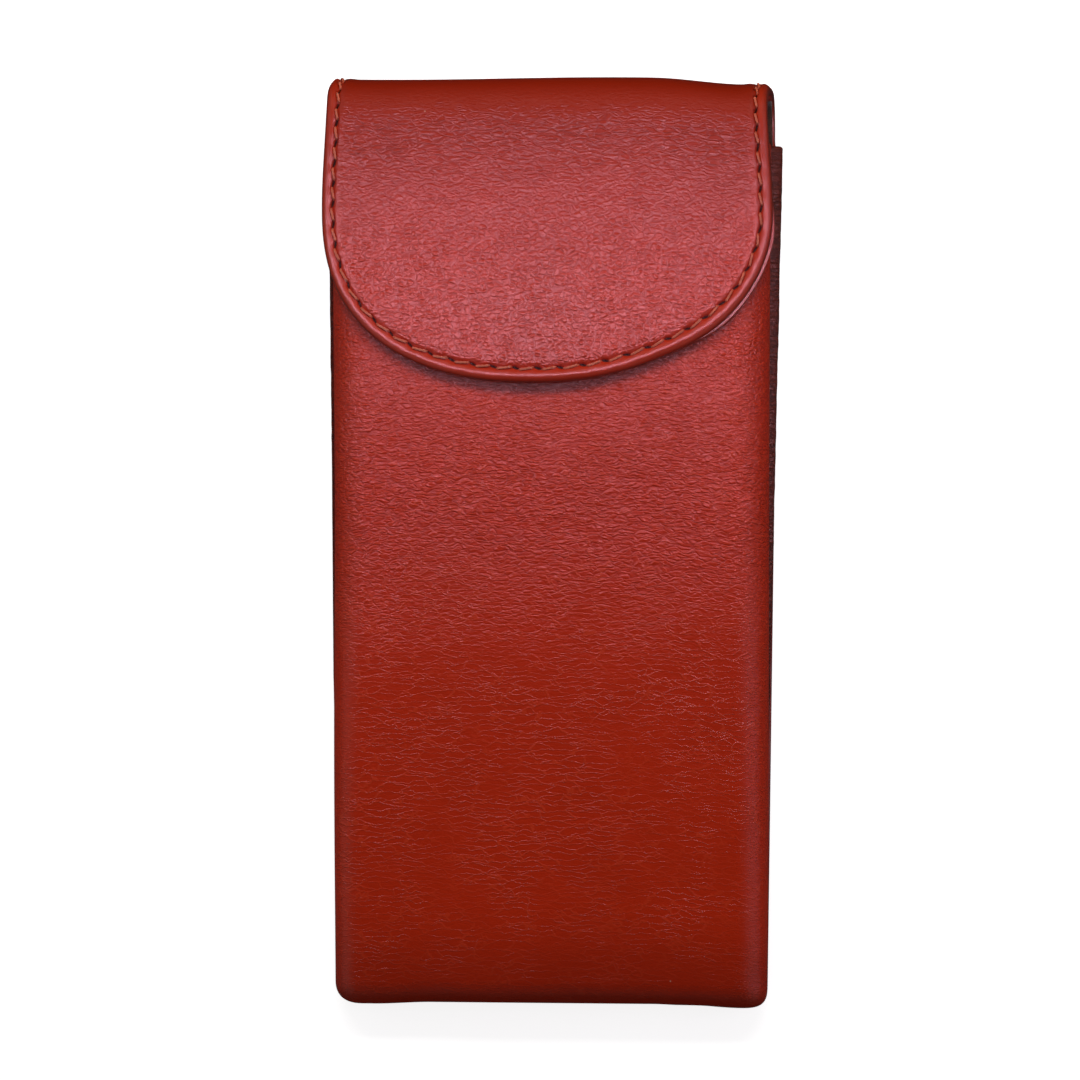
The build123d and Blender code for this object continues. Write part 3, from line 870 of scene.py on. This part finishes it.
def gusset_leather():
    """Thin leather of the side walls, finely creased across its length. Its dark plum-brown, far darker than the red
    body leather, is painted shade for the side walls, which sit in shade.
    """
    M = Mat("gusset_leather")
    mm = M.vec("SCALE", M.attr("pat", "Vector"), 1000.0)
    wob = M.vec("SCALE", M.vec("SUBTRACT", M.noise(mm, 0.5, 3.0, out="Color"), (0.5, 0.5, 0.5)), 1.6)
    w = M.vec("ADD", mm, wob)
    fold = M.ramp(M.cells(M.turn(w, scale=(0.22, 1.0, 1)), 1.1), 0.0, 0.2)
    fine = M.ramp(M.cells(M.turn(w, (4, 4, 0), scale=(0.8, 1.1, 1)), 1.9), 0.0, 0.2)
    pore = M.noise(w, 6.0, 2.0)
    h = M.math("ADD", M.math("ADD", M.math("MULTIPLY", fold, 0.7), M.math("MULTIPLY", fine, 0.35)), M.math("MULTIPLY", pore, 0.15))
    mid = M.noise(mm, 0.16, 3.0)
    col = M.mix(M.ramp(h, 0.3, 1.0), (0.06, 0.008, 0.003), (0.15, 0.019, 0.007))
    col = M.mix(M.ramp(mid, 0.35, 0.7, 0.0, 0.5), col, (0.15, 0.017, 0.008))
    rough = M.math("ADD", 0.4, M.math("MULTIPLY", M.math("SUBTRACT", 1.0, h), 0.2))
    return M.done(col, rough, M.bump(h, 0.00012), **{"Specular IOR Level": 0.25})


def lining(name, light, dark):
    """Fine brushed microfibre: short nap over a faint weave."""
    M = Mat(name)
    mm = M.vec("SCALE", M.attr("pat", "Vector"), 1000.0)
    warp = M.wave(M.turn(mm), 0.9, 0.8, "X")
    weft = M.wave(M.turn(mm), 0.9, 0.8, "Y")
    weave = M.math("MULTIPLY", M.math("ADD", warp, weft), 0.5)
    nap = M.noise(M.turn(mm, scale=(1.0, 0.35, 1)), 4.5, 4.0, 0.65)
    brushed = M.noise(mm, 0.07, 3.0, 0.6)
    h = M.math("ADD", M.math("MULTIPLY", weave, 0.35), M.math("MULTIPLY", nap, 0.8))
    f = M.math("ADD", M.math("MULTIPLY", nap, 0.6), M.math("MULTIPLY", brushed, 0.6))
    col = M.mix(M.ramp(f, 0.35, 0.85), dark, light)
    rough = M.math("ADD", 0.78, M.math("MULTIPLY", nap, 0.2), clamp=True)
    return M.done(col, rough, M.bump(h, 0.00009), **{"Specular IOR Level": 0.2, "Sheen Weight": 0.35, "Sheen Roughness": 0.4})


def thread_material(name, a, b):
    M = Mat(name)
    uv = M.attr("pat", "Vector")
    fibre = M.wave(M.turn(uv, scale=(6.0, 2.6, 0)), 1.5, 1.0, "DIAGONAL")
    vary = M.noise(M.turn(uv, scale=(0, 0.4, 1.3)), 1.0, 2.0)
    col = M.mix(M.ramp(M.math("ADD", M.math("MULTIPLY", fibre, 0.5), M.math("MULTIPLY", vary, 0.7)), 0.2, 0.9), b, a)
    rough = M.math("ADD", 0.42, M.math("MULTIPLY", fibre, 0.18))
    return M.done(col, rough, M.bump(fibre, 0.00003), **{"Specular IOR Level": 0.45, "Sheen Weight": 0.1, "Sheen Roughness": 0.4})


def foam_material():
    M = Mat("padding_foam")
    mm = M.vec("SCALE", M.attr("pat", "Vector"), 1000.0)
    cell = M.cells(mm, 2.6, "F1")
    h = M.math("ADD", cell, M.math("MULTIPLY", M.noise(mm, 3.0, 3.0), 0.4))
    col = M.mix(M.ramp(h, 0.2, 0.9), (0.62, 0.55, 0.42), (0.36, 0.3, 0.21))
    return M.done(col, M.math("ADD", 0.8, M.math("MULTIPLY", cell, 0.15), clamp=True), M.bump(h, 0.0002), **{"Specular IOR Level": 0.2})


def card_material():
    M = Mat("grey_board")
    g = M.t.nodes.new("ShaderNodeTexCoord").outputs["Object"]
    mm = M.vec("SCALE", g, 1000.0)
    fibre = M.noise(M.turn(mm, scale=(0.4, 1.8, 1)), 1.4, 5.0, 0.65)
    fleck = M.ramp(M.cells(mm, 0.8, "F1"), 0.05, 0.12, 0.6, 0.0)
    col = M.mix(M.ramp(fibre, 0.3, 0.75), (0.22, 0.2, 0.175), (0.36, 0.335, 0.3))
    col = M.mix(fleck, col, (0.1, 0.085, 0.07))
    return M.done(col, M.math("ADD", 0.74, M.math("MULTIPLY", fibre, 0.2), clamp=True), M.bump(fibre, 0.00006), **{"Specular IOR Level": 0.25})


def magnet_material():
    M = Mat("nickel_plate")
    g = M.t.nodes.new("ShaderNodeTexCoord").outputs["Object"]
    mm = M.vec("SCALE", g, 1000.0)
    scr = M.noise(M.turn(mm, scale=(0.3, 6.0, 1)), 1.0, 4.0, 0.6)
    blot = M.noise(mm, 0.4, 3.0)
    col = M.mix(M.ramp(blot, 0.35, 0.7), (0.5, 0.48, 0.45), (0.66, 0.645, 0.62))
    rough = M.math("ADD", 0.22, M.math("MULTIPLY", scr, 0.2))
    return M.done(col, rough, M.bump(scr, 0.00001), **{"Metallic": 1.0})


def floor_material():
    M = Mat("studio_floor")
    g = M.t.nodes.new("ShaderNodeTexCoord").outputs["Object"]
    f = M.noise(g, 40.0, 3.0)
    col = M.mix(M.ramp(f, 0.3, 0.7), (0.86, 0.86, 0.86), (0.88, 0.88, 0.88))
    return M.done(col, M.math("ADD", 0.7, M.math("MULTIPLY", f, 0.1)), **{"Emission Color": (1, 1, 1, 1), "Emission Strength": FLOOR_GLOW, "Specular IOR Level": 0.2})


FLOOR_GLOW = 0.8
WORLD_TOP, WORLD_SIDE = 0.02, 0.46
PAT_FRONT = 300.0
MAT_FLAP = leather("leather_flap", slant=0.2, pebble_at=(16.0, 44.0), fold_at=(10.5, 19.0), seed=1.0, strength=1.45)
MAT_BACK = leather("leather_back", slant=-0.1, fold_at=(4.0, 14.0), seed=2.0, strength=1.2)
MAT_FRONT = leather("leather_front", slant=0.08, pebble_at=(PAT_FRONT + 10, PAT_FRONT + 42), calm_at=(PAT_FRONT + 8, PAT_FRONT - 30, PAT_FRONT - 92), foot_at=(PAT_FRONT - 66, PAT_FRONT - 86), seed=3.0, gloss=0.6, strength=1.25)
MAT_FACING = leather("leather_facing", slant=0.1, seed=4.0, strength=0.8, dye=(0.30, 0.016, 0.003))
MAT_GUSSET = gusset_leather()
MAT_LINING = lining("lining_microfibre", (0.16, 0.075, 0.05), (0.05, 0.021, 0.014))
MAT_THREAD = thread_material("polyester_thread", (0.80, 0.19, 0.10), (0.55, 0.085, 0.03))
MAT_THREAD_DARK = thread_material("polyester_thread_mouth", (0.52, 0.09, 0.035), (0.34, 0.045, 0.015))
MAT_FOAM = foam_material()
MAT_CARD = card_material()
MAT_MAGNET = magnet_material()
MAT_FLOOR = floor_material()


def gauss(x, c, w):
    return np.exp(-((x - c) / w) ** 2)


row_up = Row(flap_outline, row_inset, lambda v: 3.75 + 0.4 * smooth(UP_SH, UP_TIP - 8, v),
             lambda v: 1.95 + 0.55 * smooth(UP_SH, UP_TIP - 8, v))
pits_up = row_up.pits(0.25, -0.02)


def relief_up(xy, s, ins, on_top):
    if not on_top:
        return 0.0, 0.0
    x, v = xy[:, 0], xy[:, 1]
    r = row_inset(v)
    k = ins / r
    near = smooth(3.2, 1.4, k)
    wob = 1 + 0.25 * np.sin(s / 5.3 + 1.0) * np.sin(s / 2.1)
    dn = 0.13 * gauss(k, 0.52, 0.26) * wob - 0.34 * gauss(k, 1.0, 0.2) + 0.13 * gauss(k, 1.75, 0.42) * wob
    # the leather is pulled down a little at each hole and puffs between the stitches
    ph = np.interp(s, ROW_S, ROW_PH)
    dn += near * 0.05 * np.cos(2 * math.pi * ph) * gauss(k, 1.0, 0.55)
    hole_and_shadow_mask = np.zeros(len(x))
    m = np.abs(ins - r) < 1.3
    if m.any():
        hole_and_shadow_mask[m] = pits_up(xy[m])
    return dn - 0.62 * hole_and_shadow_mask, hole_and_shadow_mask


# running phase of the stitches, 0 at the middle of each stitch, against the outline's length
_P0, _N0, _S0, _ = both_sides(flap_outline, 1500)
ROW_S = _S0
ROW_PH = np.interp(row_up.s, row_up.mid, np.arange(len(row_up.mid)))

BOARD_IN = 2.62


def upper_top(ins, v):
    return np.zeros(len(ins))


def upper_bot(ins, v):
    return np.where((ins > BOARD_IN - 0.05) & (v > UP_FOLD + 2.0), -(T_WRAP - 0.9) + 0.02, -T_WRAP)


skin_up = wrap_shell("flap_leather_cover", UP, True, flap_outline, 760, MAT_FLAP, upper_top, upper_bot, 1.25, 0.5, 8.0, 0.18, relief_up)
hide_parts("flap_leather", "top_strip_leather")
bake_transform(skin_up)

lin_up = wrap_shell("flap_facing_leather", UP, True, lining_outline, 420, MAT_FACING,
                    lambda i, v: np.full(len(i), -T_WRAP - 0.01), lambda i, v: np.full(len(i), -T_STACK), 0.28, 0.3, 8.0, 0.6)
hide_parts("flap_lining", "top_strip_lining")
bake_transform(lin_up)


def lower_bot(ins, v):
    return np.where((ins > BOARD_IN - 0.05) & (v > LOW_FOLD + 2.0), -(T_WRAP - 0.9) + 0.02, -T_WRAP)


row_low = Row(back_outline, lambda v: np.full(len(v), 2.3), lambda v: np.full(len(v), 3.9), lambda v: np.full(len(v), 2.4), seed=11)
pits_low = row_low.pits(0.25, -0.02)


def relief_low(xy, s, ins, on_top):
    if not on_top:
        return 0.0, 0.0
    k = ins / 2.3
    wob = 1 + 0.25 * np.sin(s / 6.1 + 0.4) * np.sin(s / 2.6)
    dn = 0.06 * gauss(k, 0.52, 0.26) * wob - 0.3 * gauss(k, 1.0, 0.2)
    hole_and_shadow_mask = np.zeros(len(xy))
    m = np.abs(ins - 2.3) < 1.2
    if m.any():
        hole_and_shadow_mask[m] = pits_low(xy[m])
    return dn - 0.55 * hole_and_shadow_mask, hole_and_shadow_mask


skin_low = wrap_shell("back_leather_cover", LOW, False, back_outline, 900, MAT_BACK, lambda i, v: np.full(len(i), -0.06), lower_bot, 0.9, 0.5, 3.6, 0.2,
                      relief_low, end=26.0)
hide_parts("back_leather")
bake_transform(skin_low)

lin_low = wrap_shell("back_lining_cloth", LOW, False, lambda side: back_outline(side, -0.45), 420, MAT_LINING,
                     lambda i, v: np.full(len(i), -T_WRAP - 0.01), lambda i, v: np.full(len(i), -T_STACK), 0.28, 0.3, 3.4, 0.6, end=26.0)
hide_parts("back_lining")
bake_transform(lin_low)


# stiffening board of the flap, bent with it
def board_outline(side):
    p = flap_outline(side, -BOARD_IN - 0.1)
    p = p[p[:, 1] > UP_FOLD + 2.2]
    top = np.stack([np.linspace(0, p[0, 0], 60)[:-1], np.full(59, UP_FOLD + 2.2)], 1)
    return np.concatenate([top, p])


def disc_sheet(name, xs, mat, n0, n1, hole=None):
    """Flat-cut sheet in the flap's (x, v) plane, between two heights, with a round hole."""
    P = np.concatenate([resample(board_outline(1), 220), resample(board_outline(-1), 220)[::-1][1:-1]])
    C, r = hole
    ang = np.arctan2(P[:, 1] - C[1], P[:, 0] - C[0])
    ring = C + r * np.stack([np.cos(ang), np.sin(ang)], 1)
    fr = [0.0, 0.008, 0.05, 0.2, 0.4, 0.6, 0.8, 0.95, 0.992, 1.0]
    rows = []
    for f in fr:
        rows.append((ring + (P - ring) * f, n0 if 0 < f < 1 else n0 - 0.06))
    for f in fr[::-1]:
        rows.append((ring + (P - ring) * f, n1 if 0 < f < 1 else n1 + 0.06))
    R, J = len(rows), len(P)
    V = np.zeros((R, J, 3))
    PAT = np.zeros((R, J, 3))
    for k, (xy, n) in enumerate(rows):
        V[k] = wrap_point(UP, xy[:, 0], xy[:, 1], np.full(J, n), True)
        PAT[k, :, :2] = xy
    r_, c_ = np.meshgrid(np.arange(R), np.arange(J), indexing="ij")
    F = np.stack([r_ * J + c_, r_ * J + (c_ + 1) % J, ((r_ + 1) % R) * J + (c_ + 1) % J, ((r_ + 1) % R) * J + c_], -1).reshape(-1, 4)
    return make(name, V.reshape(-1, 3), F, mat, {"pat": PAT.reshape(-1, 3) * 0.001}, sharp=40)


MAG_LO, MAG_HI = nbox("flap_magnet")
MAG_V = v_of_y(UP, (MAG_LO[1] + MAG_HI[1]) / 2)
board = disc_sheet("flap_stiffener_board", None, MAT_CARD, -1.13, -T_WRAP + 0.03, hole=(np.array([-LEAN, MAG_V]), 6.5))
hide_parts("flap_board")
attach(board, "flap")


# threads of the flap: the row on the outside, and its underside on the facing
def up_place(x, v, n):
    return wrap_point(UP, x, v, n, True)


def up_rise(x, v):
    """The thread lies proud on the sides and is sunk between the puffed leather low on the right."""
    sunk = float(smooth(UP_SH + 6, UP_TIP - 4, v) * smooth(-14, 10, x))
    return 0.02 - 0.2 * sunk


runs = row_runs(row_up, up_place, up_rise)
under = row_runs(row_up, up_place, lambda x, v: -T_STACK - 0.07, dive=-0.6, keep=lambda x, v: v > 3.0, first=200)
thr_up = threads("flap_thread", runs + under, MAT_THREAD, radius=0.175)
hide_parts("flap_stitches", "top_strip_stitches")
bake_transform(thr_up)

thr_low = threads("back_thread", row_runs(row_low, lambda x, v, n: wrap_point(LOW, x, v, n, False), lambda x, v: -0.2), MAT_THREAD)
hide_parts("back_stitches")
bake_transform(thr_low)

# ================================================================== the front panel
FP, FPAT, FINS, FROWS, FCOLS = front_grid()
FP = front_soften(FP)
FN = grid_normals(FP)
mid_r, mid_c = FP.shape[0] // 3, FP.shape[1] // 2
if FN[mid_r, mid_c, 2] < 0:
    FN = -FN
FY = np.array([lerp(Y_BOT + R_ROLL, MOUTH_Y, f[1]) for f in FROWS])


def front_rows(y, o):
    """The arch at distance y along the case, moved inwards by o."""
    r = int(np.clip(np.searchsorted(-FY[:N_LONG + 1], -y) - 1, 0, N_LONG - 1))
    f = (FY[r] - y) / (FY[r] - FY[r + 1])
    f = min(max(f, 0.0), 1.0)
    a = FP[r] - FN[r] * o
    b = FP[r + 1] - FN[r + 1] * o
    return a + (b - a) * f


# slow unevenness of the padded face, and the channel and puffed lip at its mouth
flat = FP.reshape(-1, 3)
un = 0.22 * n3(flat, 26.0, 3.0) + 0.09 * n3(flat, 9.0, 8.0)
face = smooth(0.3, 0.9, FN[:, :, 2])
un = un.reshape(face.shape) * face
dist = (MOUTH_Y - FP[:, :, 1] - dip(FP[:, :, 0]))
mouth = smooth(0.4, 0.9, FN[:, :, 2]) * (np.arange(FP.shape[0])[:, None] <= N_LONG)
un = un - 0.35 * gauss(dist, 3.5, 0.5) * mouth + 0.1 * gauss(dist, 1.6, 0.8) * mouth + 0.1 * gauss(dist, 5.6, 1.0) * mouth
OUT = FP + FN * un[..., None]
T_FRONT, T_FOAM, T_FLIN = 1.1, 1.6, 0.6
rim = []
for sd in (-1, 1):
    o = flap_outline(sd)
    o = o[o[:, 1] > UP_SH - 2.0]
    rim.append(wrap_point(UP, o[:, 0], o[:, 1], 0.0, True)[:, :2])
rim = np.concatenate(rim)
# painted shadow: a dark band on the front panel along the flap's edge, standing in for the shadow the closed flap
# casts; it stays when the flap opens
painted_flap_shadow = np.zeros(FP.shape[:2])
for r in range(FP.shape[0]):
    for_row = FP[r, :, None, :2] - rim[None, ::3]
    near = np.sqrt((for_row ** 2).sum(-1).min(-1))
    painted_flap_shadow[r] = 0.5 * np.exp(-(near / 2.1) ** 2)
painted_flap_shadow = painted_flap_shadow * (FN[:, :, 2] > 0.3)
front = shell("front_leather_panel", OUT, FP - FN * T_FRONT, MAT_FRONT, FPAT, hole_and_shadow_mask=painted_flap_shadow, inset=np.where(np.arange(FP.shape[0])[:, None] <= N_LONG, np.maximum(dist, 0), 20.0) * np.ones_like(un) + 0.9)
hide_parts("front_leather")
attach(front, "pouch")

first = int(np.searchsorted(-FY[:N_LONG + 1], -(MOUTH_Y - 1.0)))
foam = shell("front_foam_padding", (FP - FN * (T_FRONT + 0.02))[first:, 3:-3], (FP - FN * (T_FRONT + T_FOAM - 0.02))[first:, 3:-3], MAT_FOAM, FPAT[first:, 3:-3], round_edge=0.2)
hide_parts("front_foam")
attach(foam, "pouch")

FACING = 12.0
first = int(np.searchsorted(-FY[:N_LONG + 1], -(MOUTH_Y - FACING)))
flin = shell("front_lining_cloth", (FP - FN * (T_FRONT + T_FOAM))[first:, 2:-2], (FP - FN * (T_FRONT + T_FOAM + T_FLIN))[first:, 2:-2], MAT_LINING, FPAT[first:, 2:-2], round_edge=0.2)
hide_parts("front_lining")
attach(flin, "pouch")

# facing: turned over the padding at the mouth and down inside
prof = [(T_FRONT + 0.02, MOUTH_Y - 0.98), (T_FRONT + 0.02, MOUTH_Y - 0.2), (T_FRONT + 0.25, MOUTH_Y + 0.0), (2.2, MOUTH_Y + 0.06), (3.0, MOUTH_Y - 0.08), (3.33, MOUTH_Y - 0.55),
        (3.36, MOUTH_Y - 2.0), (3.36, MOUTH_Y - 5.0), (3.36, MOUTH_Y - 8.0), (3.34, MOUTH_Y - FACING + 0.5), (3.2, MOUTH_Y - FACING - 0.1), (3.0, MOUTH_Y - FACING + 0.02),
        (2.74, MOUTH_Y - FACING + 0.02), (2.72, MOUTH_Y - 8.0), (2.72, MOUTH_Y - 5.0), (2.72, MOUTH_Y - 1.0), (2.0, MOUTH_Y - 0.98)]
secs, pats = [], []
run = 0.0
for k, (o, y) in enumerate(prof):
    c = front_rows(min(y, MOUTH_Y), o)
    if y > MOUTH_Y:
        c = c + np.array([0, y - MOUTH_Y, 0])
    secs.append(c)
    if k:
        run += math.hypot(prof[k][0] - prof[k - 1][0], prof[k][1] - prof[k - 1][1])
    q = FPAT[0].copy()
    q[:, 1] = 150 + run
    pats.append(q)
S = np.array(secs)
K, C = S.shape[:2]
F = []
for k in range(K):
    for c in range(C - 1):
        F.append([k * C + c, k * C + c + 1, ((k + 1) % K) * C + c + 1, ((k + 1) % K) * C + c])
F.append([k * C for k in range(K)])
F.append([k * C + C - 1 for k in range(K)][::-1])
fac = make("mouth_facing_leather", S.reshape(-1, 3), F, MAT_FACING, {"pat": np.array(pats).reshape(-1, 3) * 0.001, "inset": np.full(K * C, 20.0), "hole_and_shadow_mask": np.zeros(K * C)}, sharp=50)
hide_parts("front_mouth_facing")
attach(fac, "pouch")

# thread along the mouth
core = slice(N_SIDE + N_ROLL, N_SIDE + N_ROLL + N_CORE + 1)


def mouth_at(x, h):
    c = front_rows(MOUTH_Y - 3.5, 0.0)[core]
    n = front_rows(MOUTH_Y - 3.5, 0.0)[core] - front_rows(MOUTH_Y - 3.5, 1.0)[core]
    x = np.asarray(x)
    p = np.stack([np.interp(x, c[:, 0], c[:, k]) for k in range(3)], 1)
    m = np.stack([np.interp(x, c[:, 0], n[:, k]) for k in range(3)], 1)
    return p + m * np.asarray(h)[:, None], m


mruns = []
for k in range(15):
    t = np.linspace(-1, 1, 19)
    w = t * 1.35
    h = -0.24 + 0.1 * (1 - t * t) - 0.7 * (np.clip(np.abs(t) - 0.74, 0, 1) / 0.26) ** 1.5
    p, m = mouth_at(LEAN + (k - 7) * 4.0 + w, h)
    p[:, 1] += 0.15 * t
    mruns.append((p, m, w, k))
thr_m = threads("mouth_thread", mruns, MAT_THREAD_DARK)
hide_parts("mouth_stitches")
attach(thr_m, "pouch")

# ================================================================== gussets
def gusset_section(y, side, a, n=26):
    """Points across the soft gusset, from its seam with the front panel to its seam with the back."""
    k = float(np.clip((y - GUSSET_END_Y) / (MOUTH_Y - GUSSET_END_Y), 0, 1))
    s = lerp(ZB, GUSSET_MOUTH_Z, k)
    t = along(y)
    wf = lerp(W_BOT, W_MOUTH, t) - 0.5
    wb = lerp(WB_BOT, WB_MOUTH, t) - 0.5
    d = PLEAT * k
    bul = GUS_BULGE * k
    pts = np.array([
        (wf, s - 0.1), (wf - 0.12 * d + 0.1 * k, lerp(ZB, s, 0.86)), (wf - 0.62 * d, lerp(ZB, s, 0.68)), (wf - 0.8 * d, lerp(ZB, s, 0.55)),
        (wf - 0.5 * d, lerp(ZB, s, 0.42)), (wb - 0.1 * d + 0.75 * bul, lerp(ZB, s, 0.3)), (wb + bul, lerp(ZB, s, 0.16)), (wb + 0.2 * bul, ZB + 0.1)])
    q = np.linspace(0, len(pts) - 1, n)
    out = []
    for u in q:
        i = int(min(u, len(pts) - 2))
        f = u - i
        p0, p1, p2, p3 = pts[max(i - 1, 0)], pts[i], pts[i + 1], pts[min(i + 2, len(pts) - 1)]
        out.append(0.5 * ((2 * p1) + (-p0 + p2) * f + (2 * p0 - 5 * p1 + 4 * p2 - p3) * f * f + (-p0 + 3 * p1 - 3 * p2 + p3) * f ** 3))
    out = np.array(out)
    tan = np.gradient(out, axis=0)
    tan /= np.maximum(np.linalg.norm(tan, axis=1, keepdims=True), 1e-9)
    nor = np.stack([tan[:, 1], -tan[:, 0]], 1)          # into the pocket
    nor *= np.where(nor[:, 0:1] > 0, -1, 1)
    out = out + nor * a
    lean = LEAN * np.clip((out[:, 1] - ZB) / (s - ZB + 1e-6), 0, 1) ** 2 * min(1.0, k * 4)
    return np.stack([side * out[:, 0] + lean, np.full(n, y), out[:, 1]], 1)


GUS_BULGE = 1.4
ys = np.linspace(MOUTH_Y - 0.2, GUSSET_END_Y + 7, 420)
for side, nm in ((-1, "left"), (1, "right")):
    A = np.array([gusset_section(y, side, 0.0) for y in ys])
    B = np.array([gusset_section(y, side, 0.75) for y in ys])
    D = np.array([gusset_section(y, side, 1.15) for y in ys])
    # small creases across, deepest at the pleat and where the gusset is widest
    k = np.clip((ys - GUSSET_END_Y) / (MOUTH_Y - GUSSET_END_Y), 0, 1)[:, None]
    u = np.linspace(0, 1, A.shape[1])[None]
    flat = A.reshape(-1, 3)
    q = np.stack([flat[:, 0] * 0.4, flat[:, 1] * 1.0, flat[:, 2] * 0.25], 1)
    cre = (0.13 * n3(q, 1.5, 5.0 + side) + 0.16 * n3(q, 4.0, 2.0 + side)).reshape(A.shape[:2])
    cre = cre * np.sin(math.pi * np.clip(u, 0.02, 0.98)) * smooth(0, 0.25, k)
    N = A - B
    N /= np.maximum(np.linalg.norm(N, axis=2, keepdims=True), 1e-9)
    # the right-hand dip, at a little over half strength
    for X in (A, B, D):
        X[:, :, 1] -= dip(X[:, :, 0]) * 0.55
    pat = np.stack([u * 14.0 * np.ones_like(k), ys[:, None] * np.ones_like(u) + 500, np.zeros(A.shape[:2])], -1)
    g = shell(nm + "_gusset_leather", A + N * cre[..., None], B + N * cre[..., None], MAT_GUSSET, pat, round_edge=0.5)
    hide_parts(nm + "_gusset")
    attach(g, "pouch")
    gl = shell(nm + "_gusset_lining_cloth", (B - N * 0.02 + N * cre[..., None])[3:], (D + N * cre[..., None])[3:], MAT_LINING, pat[3:], round_edge=0.4)
    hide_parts(nm + "_gusset_lining")
    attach(gl, "pouch")

# ================================================================== carried-over CAD pieces
def dress(node, mat):
    for o in bpy.data.objects:
        if o.name == node or o.get("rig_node") == node:
            if o.type == "MESH":
                if not o.material_slots:
                    o.data.materials.append(mat)
                for sl in o.material_slots:
                    sl.material = mat


dress("back_board", MAT_CARD)
dress("flap_magnet", MAT_MAGNET)
dress("front_magnet", MAT_MAGNET)

# ================================================================== studio
def area(name, loc, target, size, power, color, shape="RECTANGLE", spread=180, diffuse=True, glossy=True):
    L = bpy.data.lights.new(name, "AREA")
    L.shape = shape
    L.size, L.size_y = size
    L.energy = power
    L.color = color
    L.spread = math.radians(spread)
    o = bpy.data.objects.new(name, L)
    o.location = loc
    o.rotation_euler = (Vector(target) - Vector(loc)).to_track_quat("-Z", "Y").to_euler()
    o.visible_diffuse = diffuse
    o.visible_glossy = glossy
    bpy.context.scene.collection.objects.link(o)
    return o


w = bpy.data.worlds.new("studio_world")
bpy.context.scene.world = w
w.use_nodes = True
nt = w.node_tree
nt.nodes.clear()
bg = nt.nodes.new("ShaderNodeBackground")
wo = nt.nodes.new("ShaderNodeOutputWorld")
nt.links.new(bg.outputs[0], wo.inputs[0])
tc = nt.nodes.new("ShaderNodeTexCoord")
sep = nt.nodes.new("ShaderNodeSeparateXYZ")
nt.links.new(tc.outputs["Generated"], sep.inputs[0])
def wmath(op, a, b=None, clamp=False):
    n = nt.nodes.new("ShaderNodeMath")
    n.operation = op
    n.use_clamp = clamp
    for k, val in enumerate((a, b)):
        if isinstance(val, bpy.types.NodeSocket):
            nt.links.new(val, n.inputs[k])
        elif val is not None:
            n.inputs[k].default_value = val
    return n.outputs[0]


def wramp(v, a, b, lo, hi):
    n = nt.nodes.new("ShaderNodeMapRange")
    n.interpolation_type = "SMOOTHSTEP"
    nt.links.new(v, n.inputs["Value"])
    for key, val in (("From Min", a), ("From Max", b), ("To Min", lo), ("To Max", hi)):
        n.inputs[key].default_value = val
    return n.outputs[0]


high = wramp(sep.outputs[2], 0.95, 0.45, WORLD_TOP, WORLD_SIDE)
low = wramp(sep.outputs[2], -0.02, 0.05, 0.12, 1.0)
wide = wramp(wmath("ABSOLUTE", sep.outputs[0]), 0.1, 0.75, 0.22, 1.0)
power = wmath("MULTIPLY", wmath("MULTIPLY", high, low), wide)
lp = nt.nodes.new("ShaderNodeLightPath")
seen = nt.nodes.new("ShaderNodeMix")
seen.data_type = "FLOAT"
nt.links.new(lp.outputs["Is Camera Ray"], seen.inputs[0])
nt.links.new(power, seen.inputs[2])
seen.inputs[3].default_value = 0.93
nt.links.new(seen.outputs[0], bg.inputs["Strength"])
bg.inputs["Color"].default_value = (1.0, 0.985, 0.97, 1)

me = bpy.data.meshes.new("studio_floor")
me.from_pydata([(-3, -3, -0.0003), (3, -3, -0.0003), (3, 3, -0.0003), (-3, 3, -0.0003)], [], [(0, 1, 2, 3)])
floor = bpy.data.objects.new("studio_floor", me)
bpy.context.scene.collection.objects.link(floor)
me.materials.append(MAT_FLOOR)
floor.visible_diffuse = False       # the pale floor doesn't throw light up onto the sides
floor.visible_glossy = False

area("key", (0.0, 0.18, 0.23), (0.0, 0.01, 0.0), (0.36, 0.06), 0.48, (1.0, 0.97, 0.95), glossy=False)
area("shine", (0.0, 0.0335, 0.092), (0.0, 0.0335, 0.0), (0.34, 0.016), 0.29, (0.86, 0.66, 0.86), diffuse=False)
area("crease_light", (0.0, 0.26, 0.24), (0.0, 0.0, 0.01), (0.5, 0.05), 0.09, (1.0, 0.66, 0.60), diffuse=False)
area("right_strip", (0.55, 0.0, 0.22), (0, 0.0, 0.02), (0.2, 0.5), 0.28, (0.80, 0.52, 0.90))

# ------------------------------------------------------------------ camera
CAM_D, CAM_YAW, CAM_PITCH, CAM_ROLL = 1.1, 4.5, 2.0, -0.006
AIM = Vector((-0.0014, 0.0, 0.016))
cam = bpy.data.cameras.new("camera")
cam.sensor_width = 36.0
cam.lens = 36.0 * CAM_D / 0.19853
cam.clip_start, cam.clip_end = 0.01, 20.0
co = bpy.data.objects.new("camera", cam)
yw, pt = math.radians(CAM_YAW), math.radians(CAM_PITCH)
pos = AIM + CAM_D * Vector((math.sin(yw) * math.cos(pt), -math.sin(pt), math.cos(yw) * math.cos(pt)))
fwd = (AIM - pos).normalized()
right = fwd.cross(Vector((0, 1, 0))).normalized()
up = right.cross(fwd).normalized()
right, up = right * math.cos(CAM_ROLL) - up * math.sin(CAM_ROLL), up * math.cos(CAM_ROLL) + right * math.sin(CAM_ROLL)
co.matrix_world = Matrix.Translation(pos) @ Matrix((right, up, -fwd)).transposed().to_4x4()
bpy.context.scene.collection.objects.link(co)
bpy.context.scene.camera = co

scene = bpy.context.scene
scene.view_settings.view_transform = "Standard"
scene.view_settings.look = "None"
scene.view_settings.exposure = 0.0
scene.view_settings.gamma = 1.0

bpy.context.view_layer.update()
